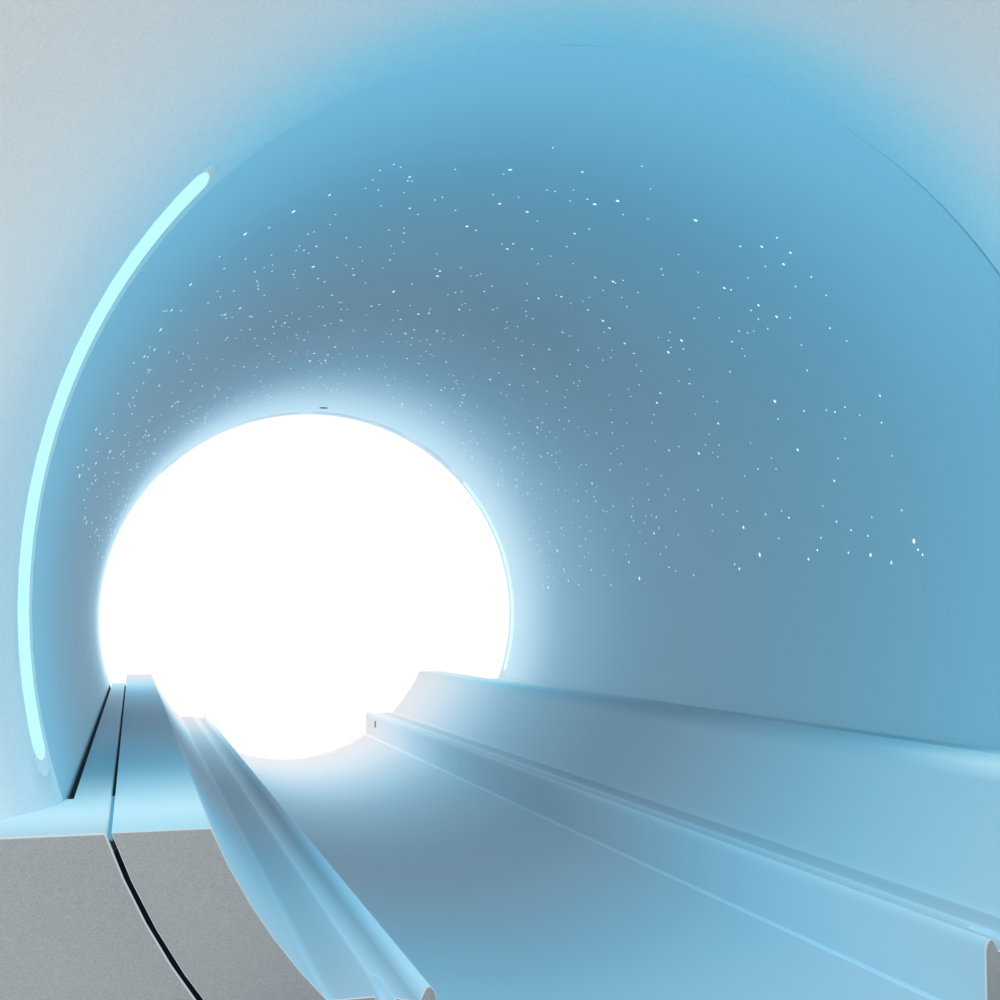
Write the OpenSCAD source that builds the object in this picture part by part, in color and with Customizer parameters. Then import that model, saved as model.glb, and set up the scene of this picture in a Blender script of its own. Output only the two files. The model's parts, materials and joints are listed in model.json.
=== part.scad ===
// Magnetic resonance scanner with a short bore and a fixed patient table.
// X is across the bore, Y runs into the bore, Z is up. The origin is on the floor,
// below the middle of the magnet. The patient enters from -Y.

/* [Bore] */
// Radius of the bore's liner
bore_r = 300; // [290:1:310]
// Height of the bore's axis above the floor
axis_h = 1070; // [1060:1:1090]
// Length of the bore's liner, from parting gap to parting gap
liner_l = 1435; // [1400:5:1460]
// Wall of the liner
liner_t = 6; // [4:0.5:7]
// Parting gap between the liner and each funnel
parting = 1.2; // [0.6:0.1:2]
// Diameter of the microphone in the liner's crown
mic_d = 12; // [8:1:20]
// Distance of the microphone from the liner's rear end
mic_from_end = 41; // [20:1:80]

/* [Funnels] */
// Straight length of the front funnel before it flares
front_straight = 5; // [3:0.5:8]
// Straight length of the rear funnel before it flares
rear_straight = 26; // [24:1:34]
// First flare radius, next to the bore
flare_r1 = 60; // [50:1:80]
// Flare angle where the first radius ends
flare_a1 = 18; // [14:0.5:22]
// Second flare radius, the long shallow trumpet
flare_r2 = 400; // [360:5:440]
// Flare angle where the second radius ends
flare_a2 = 40; // [36:1:44]
// Third flare radius, which rolls on to the cover's face
flare_r3 = 60; // [50:1:70]
// Wall of both funnels
funnel_t = 8; // [6:0.5:10]
// Width of the funnels' mounting flange behind the cover plate
flange_w = 30; // [20:1:40]

/* [Light strips] */
// Width of the front light strips
front_light_w = 13.4; // [10:0.2:16]
// Middle of the front strips, from the parting plane
front_light_s = 21; // [19:0.5:24]
// Width of the rear light strips
rear_light_w = 18; // [14:0.5:19]
// Middle of the rear strips, from the parting plane
rear_light_s = 13.5; // [12:0.5:14]
// Depth of a light strip in the funnel's wall
light_t = 4; // [3:0.5:4.5]
// Elevation of a strip's lower end
light_low = -15; // [-17:1:-10]
// Elevation of a strip's upper end
light_high = 41; // [30:1:50]

/* [Bridge] */
// Height of the shelves and ledges, from the bore's axis
ledge_z = -97.5; // [-110:0.5:-90]
// Radius of the bridge's trough
trough_r = 244; // [240:1:248]
// Outer radius of the bridge
bridge_r = 278.6; // [276:0.2:280]
// Gap between the bridge and its cradle
cradle_gap = 2; // [1.5:0.1:3]
// Gap between the cradle and the liner
slot_w = 4; // [3:0.5:6]
// Distance of the bridge's front face from the parting plane
face_s = 124.7; // [110:0.1:132]
// Reach of the bridge behind the liner's rear end
bridge_tail = 372; // [300:1:420]
// Height of the rails' flat tops, from the bore's axis
rail_z = -168.5; // [-172:0.5:-164]
// Half the clear width between the rails
rail_in = 132; // [120:1:136]
// Width of the guide groove in each rail
groove_w = 14; // [12:0.5:18]
// Depth of the guide groove
groove_d = 3.5; // [2.5:0.1:4]
// Height of the pointed ridge above the groove's bottom
ridge_h = 6; // [5:0.1:8]
// Width of the ridge at its foot
ridge_w = 7; // [6:0.5:9]
// Length of the groove's flared lead-in
lead_l = 45; // [30:1:60]
// Depth of the soft strips that close the front of the cradle gap
seal_h = 6; // [4:0.5:8]
// Number of pads under the bridge
pad_count = 5; // [3:1:8]

/* [Magnet] */
// Outer radius of the magnet's vessel
vessel_r = 930; // [910:1:935]
// Radius of the magnet's warm bore
warm_r = 455; // [450:1:460]
// Length of the magnet's vessel
vessel_l = 1480; // [1420:2:1480]
// Outer radius of the gradient coil
gradient_r = 440; // [430:1:445]
// Inner radius of the gradient coil
gradient_in = 345; // [342:1:350]
// Length of the gradient coil
gradient_l = 1300; // [1260:2:1320]
// Inner radius of the body coil's tube
body_coil_r = 314; // [312:0.5:318]
// Length of the body coil's tube
body_coil_l = 1240; // [1200:2:1250]
// Number of rungs on the body coil
rung_count = 16; // [12:2:20]
// Width of a magnet foot
foot_w = 260; // [220:5:300]
// Length of a magnet foot
foot_l = 240; // [200:5:300]
// Half the distance between the feet, across the bore
foot_x = 520; // [460:5:560]
// Half the distance between the feet, along the bore
foot_y = 520; // [460:5:560]
// Thickness of a foot's floor plate
foot_plate = 25; // [20:1:30]
// Width of a foot's upright block
foot_block = 140; // [120:5:160]
// Distance that the floor plates reach outwards past the blocks' middle
foot_out = 60; // [50:5:70]
// Diameter of the floor anchors' holes
anchor_d = 22; // [18:1:26]

/* [Service turret] */
// Radius of the neck on the vessel
neck_r = 170; // [150:1:180]
// Place of the neck along the bore
neck_y = 300; // [250:5:330]
// Height of the neck above the vessel
neck_h = 30; // [25:1:40]
// Height of the turret on the neck
turret_h = 70; // [60:1:80]
// Radius of the cold head
cold_r = 60; // [50:1:70]
// Height of the cold head
cold_h = 105; // [90:1:120]
// Radius of the vent pipe's bore
vent_r = 50; // [40:1:55]
// Wall of the vent pipe
vent_t = 4; // [3:0.5:5]
// Height of the vent pipe's flange above its cover
vent_rise = 58; // [50:1:80]
// Place of the vent pipe across the bore, from the turret's middle
vent_x = 66; // [64:1:70]

/* [Covers] */
// Space between the vessel and the side covers
side_space = 64; // [50:2:90]
// Space between the vessel and the top cover
top_space = 74; // [66:2:90]
// Height of the covers' lower edge above the floor
cover_low = 60; // [40:5:80]
// Wall of the covers
cover_t = 6; // [5:0.5:8]
// Radius of the covers' upper corners
corner_top = 500; // [460:5:540]
// Radius of the covers' lower corners
corner_low = 150; // [130:5:180]
// Rounding between a cover's face and its sides
face_round = 60; // [50:5:75]
// Straight part of the front and rear covers' rims behind the rounding
rim_straight = 12; // [8:1:20]
// Seam between neighbouring covers
seam = 0.3; // [0.2:0.1:0.6]
// Length of the hump over the turret
hump_l = 620; // [600:10:660]
// Width of the hump over the turret
hump_w = 640; // [600:10:700]
// Height of the turret's cover above the covers' top
hump_h = 182; // [175:1:200]
// Length of a vent slot in a side cover
vent_slot_l = 150; // [100:5:200]
// Number of vent slots in each group
vent_slots = 12; // [6:1:16]
// Radius of the posts that carry the covers
post_r = 12; // [8:1:16]
// Distance of the posts on the vessel's ends from the bore's axis
post_ring = 640; // [600:10:700]
// Distance of the side and top posts from the bore's middle
post_y = 450; // [400:10:480]
// Half the distance between the top posts, across the bore
post_x = 300; // [280:5:340]
// Spacing of the cable glands
gland_pitch = 150; // [100:5:180]
// Radius of a cable gland's body
gland_r = 16; // [12:1:20]
// Radius of a gland's cable passage
gland_bore = 9; // [6:0.5:10]
// Distance of the glands from the top cover's rear edge
gland_from_rear = 60; // [50:5:80]

/* [Control panels] */
// Distance of each control panel from the middle
panel_x = 640; // [600:5:680]
// Height of the panels' middle above the floor
panel_z = 1230; // [1150:5:1280]
// Width of a panel
panel_w = 100; // [90:2:110]
// Height of a panel
panel_h = 320; // [300:5:340]
// Thickness of a panel
panel_t = 8; // [7:0.5:10]
// Radius of a push button
button_r = 15; // [12:0.5:17]
// Spacing of the push buttons
button_pitch = 50; // [44:1:54]
// Travel of a push button
button_travel = 3; // [2:0.1:3.2]
// Thickness of the lip that keeps a button in its panel
button_lip = 3; // [2:0.1:3.2]
// Height of a button above its panel
button_proud = 4; // [3.5:0.5:6]
// Radius of the stop button's head
stop_r = 20; // [18:0.5:22]
// Travel of the stop button
stop_travel = 5; // [4:0.5:6]
// Radius of the stop button's stem
stop_stem = 9; // [7:0.5:12]
// Height of the stop button's collar above the panel
stop_collar = 8; // [6:0.5:12]

/* [Table] */
// How far the tabletop's rear end stands past the frame's end
top_past = 38; // [20:1:60]
// Distance from the bridge to the tabletop at rest
top_gap = 248; // [220:1:300]
// Clearance between the tabletop's flank and the trough
top_clear = 5.5; // [4:0.5:7]
// Height of the tabletop's edge, from the bore's axis
top_edge_z = -120; // [-124:1:-112]
// Height of the tabletop's hollow, from the bore's axis
top_hollow_z = -150; // [-153:0.5:-148]
// Corner radius of the tabletop's ends
top_corner = 110; // [80:5:140]
// Distance of the mattress from the tabletop's ends
mattress_inset = 20; // [10:1:40]
// Corner radius of the mattress
mattress_round = 14; // [10:1:20]
// Half width of the mattress
mattress_hw = 180; // [165:1:185]
// Height of the mattress's top, from the bore's axis
mattress_z = -112; // [-118:1:-106]
// Half width of the table's frame
frame_hw = 225; // [215:1:230]
// Depth of the table's frame
frame_d = 86; // [80:1:90]
// Wall of the table's frame
frame_t = 6; // [5:0.5:8]
// Gap between the bridge's face and the docked table
dock_gap = 0; // [0:0.1:3]
// Length of the frame's low nose, which docks against the bridge
nose_l = 42; // [30:1:60]
// Height of the nose's top, from the bore's axis
nose_z = -202; // [-215:1:-198]
// Length of the table's frame
frame_l = 2330; // [2250:10:2400]
// Distance of the accessory rails from the frame's end
acc_rear = 180; // [150:5:220]
// Distance of the accessory rails from the frame's docking face
acc_front = 300; // [240:5:360]
// Depth of the cover under the frame
under_d = 75; // [60:1:90]
// Distance of the pedestal's middle from the frame's bore end
pedestal_s = 1150; // [1000:10:1250]
// Length of the pedestal's skirts
skirt_l = 1080; // [1000:10:1140]
// Width of the pedestal's lower skirt
skirt_w = 440; // [400:5:460]
// Wall of the skirts
skirt_t = 5; // [4:0.5:6]
// Height of the table's base
base_h = 80; // [70:1:90]
// Thickness of the base's floor plate
base_plate = 18; // [14:1:20]
// Reach of the floor plate beyond the skirts, at the sides
base_rim = 70; // [60:5:90]
// Diameter of the holes for the table's anchors
base_hole_d = 12; // [10:1:14]
// Width of a lifting column
column_w = 180; // [150:5:200]
// Length of a lifting column
column_l = 140; // [120:5:180]
// Distance of each lifting column from the pedestal's middle
column_s = 300; // [200:10:350]
// Overlap of the two skirts
skirt_lap = 60; // [40:1:80]
// Radius of the belt's pulleys
pulley_r = 22; // [20:0.5:24]
// Thickness of the drive belt
belt_t = 3; // [2:0.25:3.5]
// Width of the drive belt
belt_w = 25; // [20:1:30]
// Radius of the drive motor
motor_r = 26; // [20:1:28]
// Length of the drive motor
motor_l = 84; // [60:2:100]
// Thickness of the pulley brackets' sides
bracket_t = 5; // [4:0.5:6]
// Radius of the pulleys' shafts
shaft_r = 5; // [4:0.5:6]
// Depth of the drive shaft in the motor
shaft_in = 12; // [8:1:16]
// Distance of the drive pulley from the frame's foot end
drive_inset = 75; // [70:1:90]
// Distance of the idler pulley from the frame's bore end
idler_inset = 95; // [90:1:110]
// Radius of the handle's bar
handle_r = 10; // [8:0.5:12]
// Width of the handle
handle_w = 170; // [150:2:200]

/* [Hidden] */
fit = 0.3;
shaft_fit = 0.05;
eps = 1;
$fn = 96;
half = liner_l / 2;
// Flare: the outline meets each pair of arcs on a common tangent
s1 = flare_r1 * sin(flare_a1);
r1 = bore_r + flare_r1 * (1 - cos(flare_a1));
s2 = s1 + flare_r2 * (sin(flare_a2) - sin(flare_a1));
r2 = r1 + flare_r2 * (cos(flare_a1) - cos(flare_a2));
s3 = s2 + flare_r3 * (1 - sin(flare_a2));
r3 = r2 + flare_r3 * cos(flare_a2);
front_depth = front_straight + s3;
rear_depth = rear_straight + s3;
front_y = -half - front_depth;
rear_y = half + rear_depth;
rim_front = front_y + face_round + rim_straight;
rim_rear = rear_y - face_round - rim_straight;
cover_w = 2 * (vessel_r + side_space + cover_t);
cover_top = axis_h + vessel_r + top_space + cover_t;
hump_top = cover_top + hump_h;
vent_top = hump_top + vent_rise;
top_half = cover_w / 2 - corner_top;
face_y = -half - face_s;
// Cradle and rails
cradle_in = bridge_r + cradle_gap;
cradle_out = bore_r - slot_w;
groove_z = rail_z - groove_d;
ridge_z = groove_z + ridge_h;
ridge_out = rail_in + ridge_w;
groove_out = ridge_out + groove_w;
rail_foot = sqrt(trough_r * trough_r - rail_z * rail_z);
wall_mid = (trough_r + bridge_r) / 2;
// Magnet
vessel_y = vessel_l / 2;
neck_top = axis_h + vessel_r + neck_h;
vent_h = vent_top - neck_top - turret_h;
body_coil_t = 6;
wedge_l = 60;
turret_r = neck_r - 20;
hump_y = neck_y;
hump_round = 70;
// Table
frame_y = face_y - dock_gap;
frame_end = frame_y - frame_l;
frame_low = rail_z - frame_d;
deck_hollow = frame_low + frame_t;
top_r = trough_r - top_clear;
top_low = ridge_z + 1;
top_front = face_y - top_gap;
top_back = frame_end - top_past;
top_l = top_front - top_back;
top_edge_x = sqrt(top_r * top_r - top_edge_z * top_edge_z);
hollow_x = top_edge_x - 8;
hollow_rise = top_edge_z - top_hollow_z;
hollow_r = (hollow_x * hollow_x + hollow_rise * hollow_rise) / (2 * hollow_rise);
hollow_c = top_hollow_z + hollow_r;
pedestal_y = frame_y - pedestal_s;
under_z = axis_h + frame_low - under_d;
belt_z = axis_h + (frame_low + rail_z) / 2;
idler_y = frame_y - idler_inset;
drive_y = frame_end + drive_inset;
clamp_l = 80;
clamp_y = drive_y + pulley_r + belt_t + clamp_l / 2 + 10;
bracket_x = belt_w / 2 + 3.5;
base_w = skirt_w + 2 * base_rim;
base_l = skirt_l + 240;
skirt_split = base_h + (under_z - base_h) / 2;
// Control panels: places from the panel's middle
button_z = [2 * button_pitch + 2, button_pitch + 2, 2];
button_flange = panel_t - button_lip - button_travel - 2 * fit;
stop_z = -panel_h / 2 + panel_w / 2 + 6;
gland_x = [-gland_pitch, 0, gland_pitch];
gland_y = rim_rear - gland_from_rear;

// A section drawn about the bore's axis, run along the bore from y0 to y1
module along(y0, y1) {
    translate([0, y1, axis_h])
        rotate([90, 0, 0])
            linear_extrude(y1 - y0)
                children();
}

// A profile of radius and distance, turned about the bore's axis towards the front
module turned_front(y, from = 0, sweep = 360) {
    translate([0, y, axis_h])
        rotate([90, 0, 0])
            rotate_extrude(angle = sweep, start = from)
                children();
}

// The same, with distance measured towards the rear
module turned_rear(y, from = 0, sweep = 360) {
    translate([0, y, axis_h])
        rotate([-90, 0, 0])
            rotate_extrude(angle = sweep, start = from)
                children();
}

// A ring between two radii about the bore's axis
module ring(y0, y1, r_in, r_out) {
    turned_rear(y0)
        translate([r_in, 0])
            square([r_out - r_in, y1 - y0]);
}

// Points along the flare, moved out by off along its normal, up to the slope a_end
function arc_steps(a, b, n) = [for (i = [0:n]) a + (b - a) * i / n];
function flare_angle(s0, s) = asin(sin(flare_a1) + (s - s0 - s1) / flare_r2);
function flare_line(s0, off, a_end) =
    let (a_mid = min(a_end, flare_a2))
    concat(
        [for (a = arc_steps(0, flare_a1, 6))
            [bore_r + flare_r1 * (1 - cos(a)) + off * cos(a), s0 + flare_r1 * sin(a) - off * sin(a)]],
        [for (a = arc_steps(flare_a1 + 2, a_mid, 10))
            [r1 + flare_r2 * (cos(flare_a1) - cos(a)) + off * cos(a),
             s0 + s1 + flare_r2 * (sin(a) - sin(flare_a1)) - off * sin(a)]],
        a_end > flare_a2
            ? [for (a = arc_steps(flare_a2 + 5, a_end, 10))
                [r2 + flare_r3 * (cos(flare_a2) - cos(a)) + off * cos(a),
                 s0 + s2 + flare_r3 * (sin(a) - sin(flare_a2)) - off * sin(a)]]
            : []
    );
function reversed(v) = [for (i = [len(v) - 1:-1:0]) v[i]];

// Wall of a funnel, from the parting gap to the flange behind the cover plate
module funnel_profile(s0) {
    back = s0 + s3 - cover_t;
    polygon(concat(
        [[bore_r, parting]],
        flare_line(s0, 0, 90),
        [[r3, back], [r3 + flange_w, back], [r3 + flange_w, back - funnel_t], [r3 - 18, back - funnel_t]],
        reversed(flare_line(s0, funnel_t, 60)),
        [[bore_r + funnel_t, parting]]
    ));
}

// A strip on the funnel's surface, as a turned bar with round ends
// a is the flare's slope there, w the width, t the depth, lift how far it stands clear
module light_bar(r, s, a, w, t, lift, from, to) {
    rotate(from)
        rotate_extrude(angle = to - from)
            translate([r, s])
                rotate(-a)
                    translate([-lift, -w / 2])
                        square([t + lift, w]);
    for (end = [from, to])
        rotate(end)
            translate([r, 0, s])
                rotate([0, 90 + a, 0])
                    translate([0, 0, -lift])
                        cylinder(h = t + lift, d = w - 0.1);
}

function front_slope() = asin((front_light_s - front_straight) / flare_r1);
function front_light_r() = bore_r + flare_r1 * (1 - cos(front_slope()));

module front_light(from, to, grow = 0, lift = 0) {
    translate([0, -half, axis_h])
        rotate([90, 0, 0])
            light_bar(front_light_r(), front_light_s, front_slope(), front_light_w + 2 * grow,
                      light_t + grow, lift, from, to);
}

module rear_light(from, to, grow = 0, lift = 0) {
    translate([0, half, axis_h])
        rotate([-90, 0, 0])
            light_bar(bore_r, rear_light_s, 0, rear_light_w + 2 * grow,
                      light_t + grow, lift, from, to);
}

module front_light_left() {
    color([0.76, 1, 0.98]) front_light(180 - light_high, 180 - light_low);
}

module front_light_right() {
    color([0.76, 1, 0.98]) front_light(light_low, light_high);
}

module rear_light_left() {
    color([0.76, 1, 0.98]) rear_light(180 + light_low, 180 + light_high);
}

module rear_light_right() {
    color([0.76, 1, 0.98]) rear_light(-light_high, -light_low);
}

module front_funnel() {
    color([0.78, 0.83, 0.85])
        difference() {
            turned_front(-half) funnel_profile(front_straight);
            front_light(light_low, light_high, fit, 3);
            front_light(180 - light_high, 180 - light_low, fit, 3);
        }
}

module rear_funnel() {
    color([0.78, 0.83, 0.85])
        difference() {
            turned_rear(half) funnel_profile(rear_straight);
            rear_light(-light_high, -light_low, fit, 3);
            rear_light(180 + light_low, 180 + light_high, fit, 3);
        }
}

module bore_liner() {
    color([0.62, 0.78, 0.88])
        difference() {
            ring(-half, half, bore_r, bore_r + liner_t);
            translate([0, half - mic_from_end, axis_h + bore_r - 5])
                cylinder(h = liner_t + 10, d = mic_d + 2 * fit);
        }
}

// Microphone in the crown of the liner, with its housing behind the wall
module bore_microphone() {
    color([0.1, 0.11, 0.12])
        translate([0, half - mic_from_end, axis_h + bore_r]) {
            translate([0, 0, -0.5])
                cylinder(h = liner_t, d = mic_d);
            translate([0, 0, liner_t - 0.5])
                cylinder(h = 0.5, d = mic_d - 2);
        }
}

// The part of a section that lies below the shelves
module below_ledge() {
    intersection() {
        children();
        translate([-bore_r - 100, -bore_r - 200])
            square([2 * bore_r + 200, bore_r + 200 + ledge_z]);
    }
}

// Cradle: a trough along the liner and a solid block that fills the funnel's lower part
module bridge_cradle() {
    color([0.6, 0.63, 0.64]) {
        along(-half, half)
            below_ledge()
                difference() {
                    circle(r = cradle_out);
                    circle(r = cradle_in);
                }
        intersection() {
            turned_front(-half)
                polygon(concat(
                    [[cradle_in, 0], [bore_r - fit, 0]],
                    flare_line(front_straight, -fit, flare_angle(front_straight, face_s)),
                    [[cradle_in, face_s]]
                ));
            translate([-bore_r - 100, face_y, axis_h - bore_r - 200])
                cube([2 * bore_r + 200, face_s, bore_r + 200 + ledge_z]);
        }
    }
}

// Rail on the right: flat top, guide groove, pointed ridge and upright inner side
module rail_section() {
    polygon([
        [rail_in, -wall_mid * sin(acos(rail_in / wall_mid))],
        [rail_in, ridge_z - 5],
        [rail_in + 0.8, ridge_z - 2.2],
        [rail_in + 2, ridge_z - 0.5],
        [rail_in + 3.2, ridge_z],
        [rail_in + 4.2, ridge_z - 0.6],
        [ridge_out, groove_z],
        [groove_out, rail_z - 0.4],
        [groove_out + 1, rail_z],
        [rail_foot + 10, rail_z],
        [rail_foot + 10, rail_z - 12]
    ]);
}

// Wedge that widens the groove at the bridge's front end
module groove_lead() {
    translate([0, 0, axis_h + groove_z + 1])
        linear_extrude(groove_d + 3)
            polygon([
                [groove_out - 4, face_y - 1],
                [groove_out + 4.2, face_y - 1],
                [groove_out - 0.5, face_y + lead_l],
                [groove_out - 4, face_y + lead_l]
            ]);
}

module bridge() {
    color([0.66, 0.72, 0.76])
        difference() {
            along(face_y, half + bridge_tail)
                difference() {
                    below_ledge() circle(r = bridge_r);
                    difference() {
                        circle(r = trough_r);
                        for (side = [0, 1])
                            mirror([side, 0]) rail_section();
                    }
                }
            for (side = [0, 1])
                mirror([side, 0, 0]) groove_lead();
        }
}

// Pads that carry the bridge in its cradle
module bridge_pads() {
    color([0.2, 0.21, 0.22])
        for (i = [0:pad_count - 1])
            turned_rear(face_y + 60 + i * (half - face_y - 180) / (pad_count - 1), 75, 30)
                translate([bridge_r, 0])
                    square([cradle_gap, 60]);
}

// Soft strips that close the cradle gap between the parting plane and the front
module gap_seals() {
    color([0.72, 0.84, 0.9])
        along(face_y + 1, -half + 15)
            intersection() {
                difference() {
                    circle(r = cradle_in - fit);
                    circle(r = bridge_r + fit);
                }
                translate([-bore_r, ledge_z - 1 - seal_h])
                    square([2 * bore_r, seal_h]);
            }
}

module magnet_vessel() {
    color([0.82, 0.83, 0.84])
        difference() {
            union() {
                turned_rear(0)
                    polygon([
                        [warm_r, -vessel_y], [vessel_r - 70, -vessel_y],
                        [vessel_r - 20, -vessel_y + 15], [vessel_r, -vessel_y + 50],
                        [vessel_r, vessel_y - 50], [vessel_r - 20, vessel_y - 15],
                        [vessel_r - 70, vessel_y], [warm_r, vessel_y]
                    ]);
                translate([0, neck_y, axis_h + vessel_r - 100]) {
                    cylinder(h = neck_top - axis_h - vessel_r + 100, r = neck_r - 20);
                    translate([0, 0, neck_top - axis_h - vessel_r + 84])
                        cylinder(h = 16, r = neck_r + 10);
                }
            }
            // Threaded holes for the turret's bolts
            for (a = [0:30:330])
                translate([0, neck_y, neck_top - 12])
                    rotate(a)
                        translate([neck_r - 5, 0, 0])
                            cylinder(h = 13, r = 4 + fit, $fn = 24);
        }
}

// Four feet: a floor plate with an anchor hole, and a saddle block under the vessel
module magnet_feet() {
    color([0.45, 0.47, 0.49])
        for (sx = [-1, 1], sy = [-1, 1])
            translate([sx * foot_x, sy * foot_y, 0])
                difference() {
                    union() {
                        translate([-foot_w / 2 + sx * foot_out, -foot_l / 2, 0])
                            cube([foot_w, foot_l, foot_plate]);
                        translate([-foot_block / 2, -foot_l / 2 + 20, foot_plate - eps])
                            cube([foot_block, foot_l - 40, axis_h / 2]);
                    }
                    translate([-sx * foot_x, foot_l, axis_h])
                        rotate([90, 0, 0])
                            cylinder(h = 2 * foot_l, r = vessel_r + fit, $fn = 180);
                    translate([sx * 125, 0, -1])
                        cylinder(h = foot_plate + 2, d = anchor_d);
                }
}

module service_turret() {
    color([0.72, 0.73, 0.75])
        difference() {
            translate([0, neck_y, neck_top]) {
                cylinder(h = 14, r = neck_r + 10);
                cylinder(h = turret_h, r = turret_r - 20);
                translate([0, 0, turret_h - 10])
                    cylinder(h = 10, r = turret_r - 10);
            }
            for (a = [0:30:330])
                translate([0, neck_y, neck_top - 1])
                    rotate(a)
                        translate([neck_r - 5, 0, 0])
                            cylinder(h = 16, r = 4 + fit, $fn = 24);
        }
}

module turret_bolts() {
    color([0.6, 0.6, 0.62])
        for (a = [0:30:330])
            translate([0, neck_y, neck_top + 14])
                rotate(a)
                    translate([neck_r - 5, 0, 0]) {
                        cylinder(h = 6, r = 7, $fn = 6);
                        translate([0, 0, -24])
                            cylinder(h = 25, r = 4, $fn = 24);
                    }
}

// Cold head: two flanges, a motor housing and its gas couplings
module cold_head() {
    color([0.35, 0.37, 0.4])
        translate([-62, neck_y, neck_top + turret_h]) {
            cylinder(h = 8, r = cold_r + 4);
            cylinder(h = cold_h - 35, r = cold_r - 18);
            translate([0, 0, cold_h - 40])
                cylinder(h = 40, r = cold_r - 8);
            for (side = [-1, 1])
                translate([side * 16, 0, cold_h - 20])
                    rotate([90, 0, 0])
                        cylinder(h = cold_r + 15, r = 9);
        }
}

module vent_pipe() {
    color([0.7, 0.71, 0.73])
        translate([vent_x, neck_y, neck_top + turret_h])
            difference() {
                union() {
                    cylinder(h = 8, r = vent_r + 12);
                    cylinder(h = vent_h, r = vent_r + vent_t);
                    translate([0, 0, vent_h - 10])
                        cylinder(h = 10, r = vent_r + 28);
                }
                translate([0, 0, 12])
                    cylinder(h = vent_h, r = vent_r);
                for (a = [22.5:45:359])
                    rotate(a)
                        translate([vent_r + 16, 0, vent_h - 11])
                            cylinder(h = 12, r = 4.5, $fn = 24);
            }
}

module gradient_coil() {
    color([0.75, 0.66, 0.45])
        difference() {
            ring(-gradient_l / 2, gradient_l / 2, gradient_in, gradient_r);
            for (end = [-1, 1], a = [0:45:315])
                translate([0, end * (gradient_l / 2 - 30), axis_h])
                    rotate([0, a, 0])
                        translate([(gradient_in + gradient_r) / 2, 0, 0])
                            rotate([90, 0, 0])
                                cylinder(h = 62, r = 8, center = true, $fn = 24);
        }
}

// Pads that hold the gradient coil in the warm bore
module coil_wedges() {
    color([0.9, 0.88, 0.8])
        for (end = [-1, 1], a = [22.5:45:359])
            turned_rear(end * (gradient_l / 2 - 60) - wedge_l / 2, a - 6, 12)
                translate([gradient_r + fit, 0])
                    square([warm_r - gradient_r - 2 * fit, wedge_l]);
}

// Body coil: a tube with rungs and end rings outside, and rings inside that carry the liner
module body_coil() {
    color([0.8, 0.55, 0.3]) {
        ring(-body_coil_l / 2, body_coil_l / 2, body_coil_r, body_coil_r + body_coil_t);
        for (end = [-1, 1]) {
            ring(end * (body_coil_l / 2 - 15) - 15, end * (body_coil_l / 2 - 15) + 15,
                 body_coil_r, gradient_in - fit);
            ring(end * (body_coil_l / 2 - 25) - 15, end * (body_coil_l / 2 - 25) + 15,
                 bore_r + liner_t + fit, body_coil_r + body_coil_t);
        }
        for (i = [0:rung_count - 1])
            turned_rear(-body_coil_l / 2, i * 360 / rung_count - 2, 4)
                translate([body_coil_r, 0])
                    square([body_coil_t + 5, body_coil_l]);
    }
}

// One corner of a rounded cover: a disc of radius r whose outer edge is rounded
module cover_corner(r, h, round) {
    rotate_extrude($fn = 40)
        polygon(concat(
            [[0, 0], [r, 0]],
            [for (a = arc_steps(0, 90, 9)) [r - round * (1 - cos(a)), h - round * (1 - sin(a))]],
            [[0, h]]
        ));
}

// A cover's outer form, standing on its back plane, with everything moved in by t
module cover_form(h, t) {
    hull() {
        for (sx = [-1, 1]) {
            translate([sx * (cover_w / 2 - corner_top), cover_top - corner_top, 0])
                cover_corner(corner_top - t, h - t, face_round - t);
            translate([sx * (cover_w / 2 - corner_low), cover_low + corner_low, 0])
                cover_corner(corner_low - t, h - t, face_round - t);
        }
    }
}

module cover_shell(h) {
    difference() {
        cover_form(h, 0);
        translate([0, 0, -eps]) cover_form(h + eps, cover_t);
        translate([0, axis_h, 0])
            cylinder(h = h + 2, r = r3 + fit, $fn = 180);
    }
}

module front_cover() {
    color([0.87, 0.89, 0.9])
        translate([0, rim_front, 0])
            rotate([90, 0, 0])
                cover_shell(rim_front - front_y);
}

module rear_cover() {
    color([0.87, 0.89, 0.9])
        translate([0, rim_rear, 0])
            rotate([90, 0, 180])
                cover_shell(rear_y - rim_rear);
}

// Outline of the covers seen along the bore, moved in by t
module cover_outline(t) {
    w = cover_w / 2 - t;
    rt = corner_top - t;
    rl = corner_low - t;
    translate([-w, cover_low + corner_low])
        square([2 * w, cover_top - corner_top - cover_low - corner_low]);
    translate([-w + rl, cover_low + t])
        square([2 * (w - rl), rl + 1]);
    translate([-w + rt, cover_top - corner_top - 1])
        square([2 * (w - rt), rt + 1]);
    for (sx = [-1, 1]) {
        translate([sx * (w - rt), cover_top - corner_top]) circle(r = rt, $fn = 180);
        translate([sx * (w - rl), cover_low + corner_low]) circle(r = rl);
    }
}

// Wall between the front and rear covers, as far as a window in the outline shows it
module cover_band() {
    translate([0, rim_rear - seam, 0])
        rotate([90, 0, 0])
            linear_extrude(rim_rear - rim_front - 2 * seam)
                intersection() {
                    difference() {
                        cover_outline(0);
                        cover_outline(cover_t);
                    }
                    children();
                }
}

module vent_group(y) {
    for (i = [0:vent_slots - 1])
        translate([0, y, cover_low + corner_low + 60 + i * 22])
            cube([cover_w + 10, vent_slot_l, 8], center = true);
}

// Right side wall with its lower corner and the large corner up to the top cover
module side_cover() {
    x_low = cover_w / 2 - corner_low;
    x_top = top_half + seam;
    difference() {
        cover_band()
            polygon([
                [cover_w, 0], [x_low, 0], [x_low, axis_h],
                [x_top, axis_h], [x_top, 2 * cover_top], [cover_w, 2 * cover_top]
            ]);
        for (y = [-480, 0, 480])
            vent_group(y);
    }
}

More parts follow.
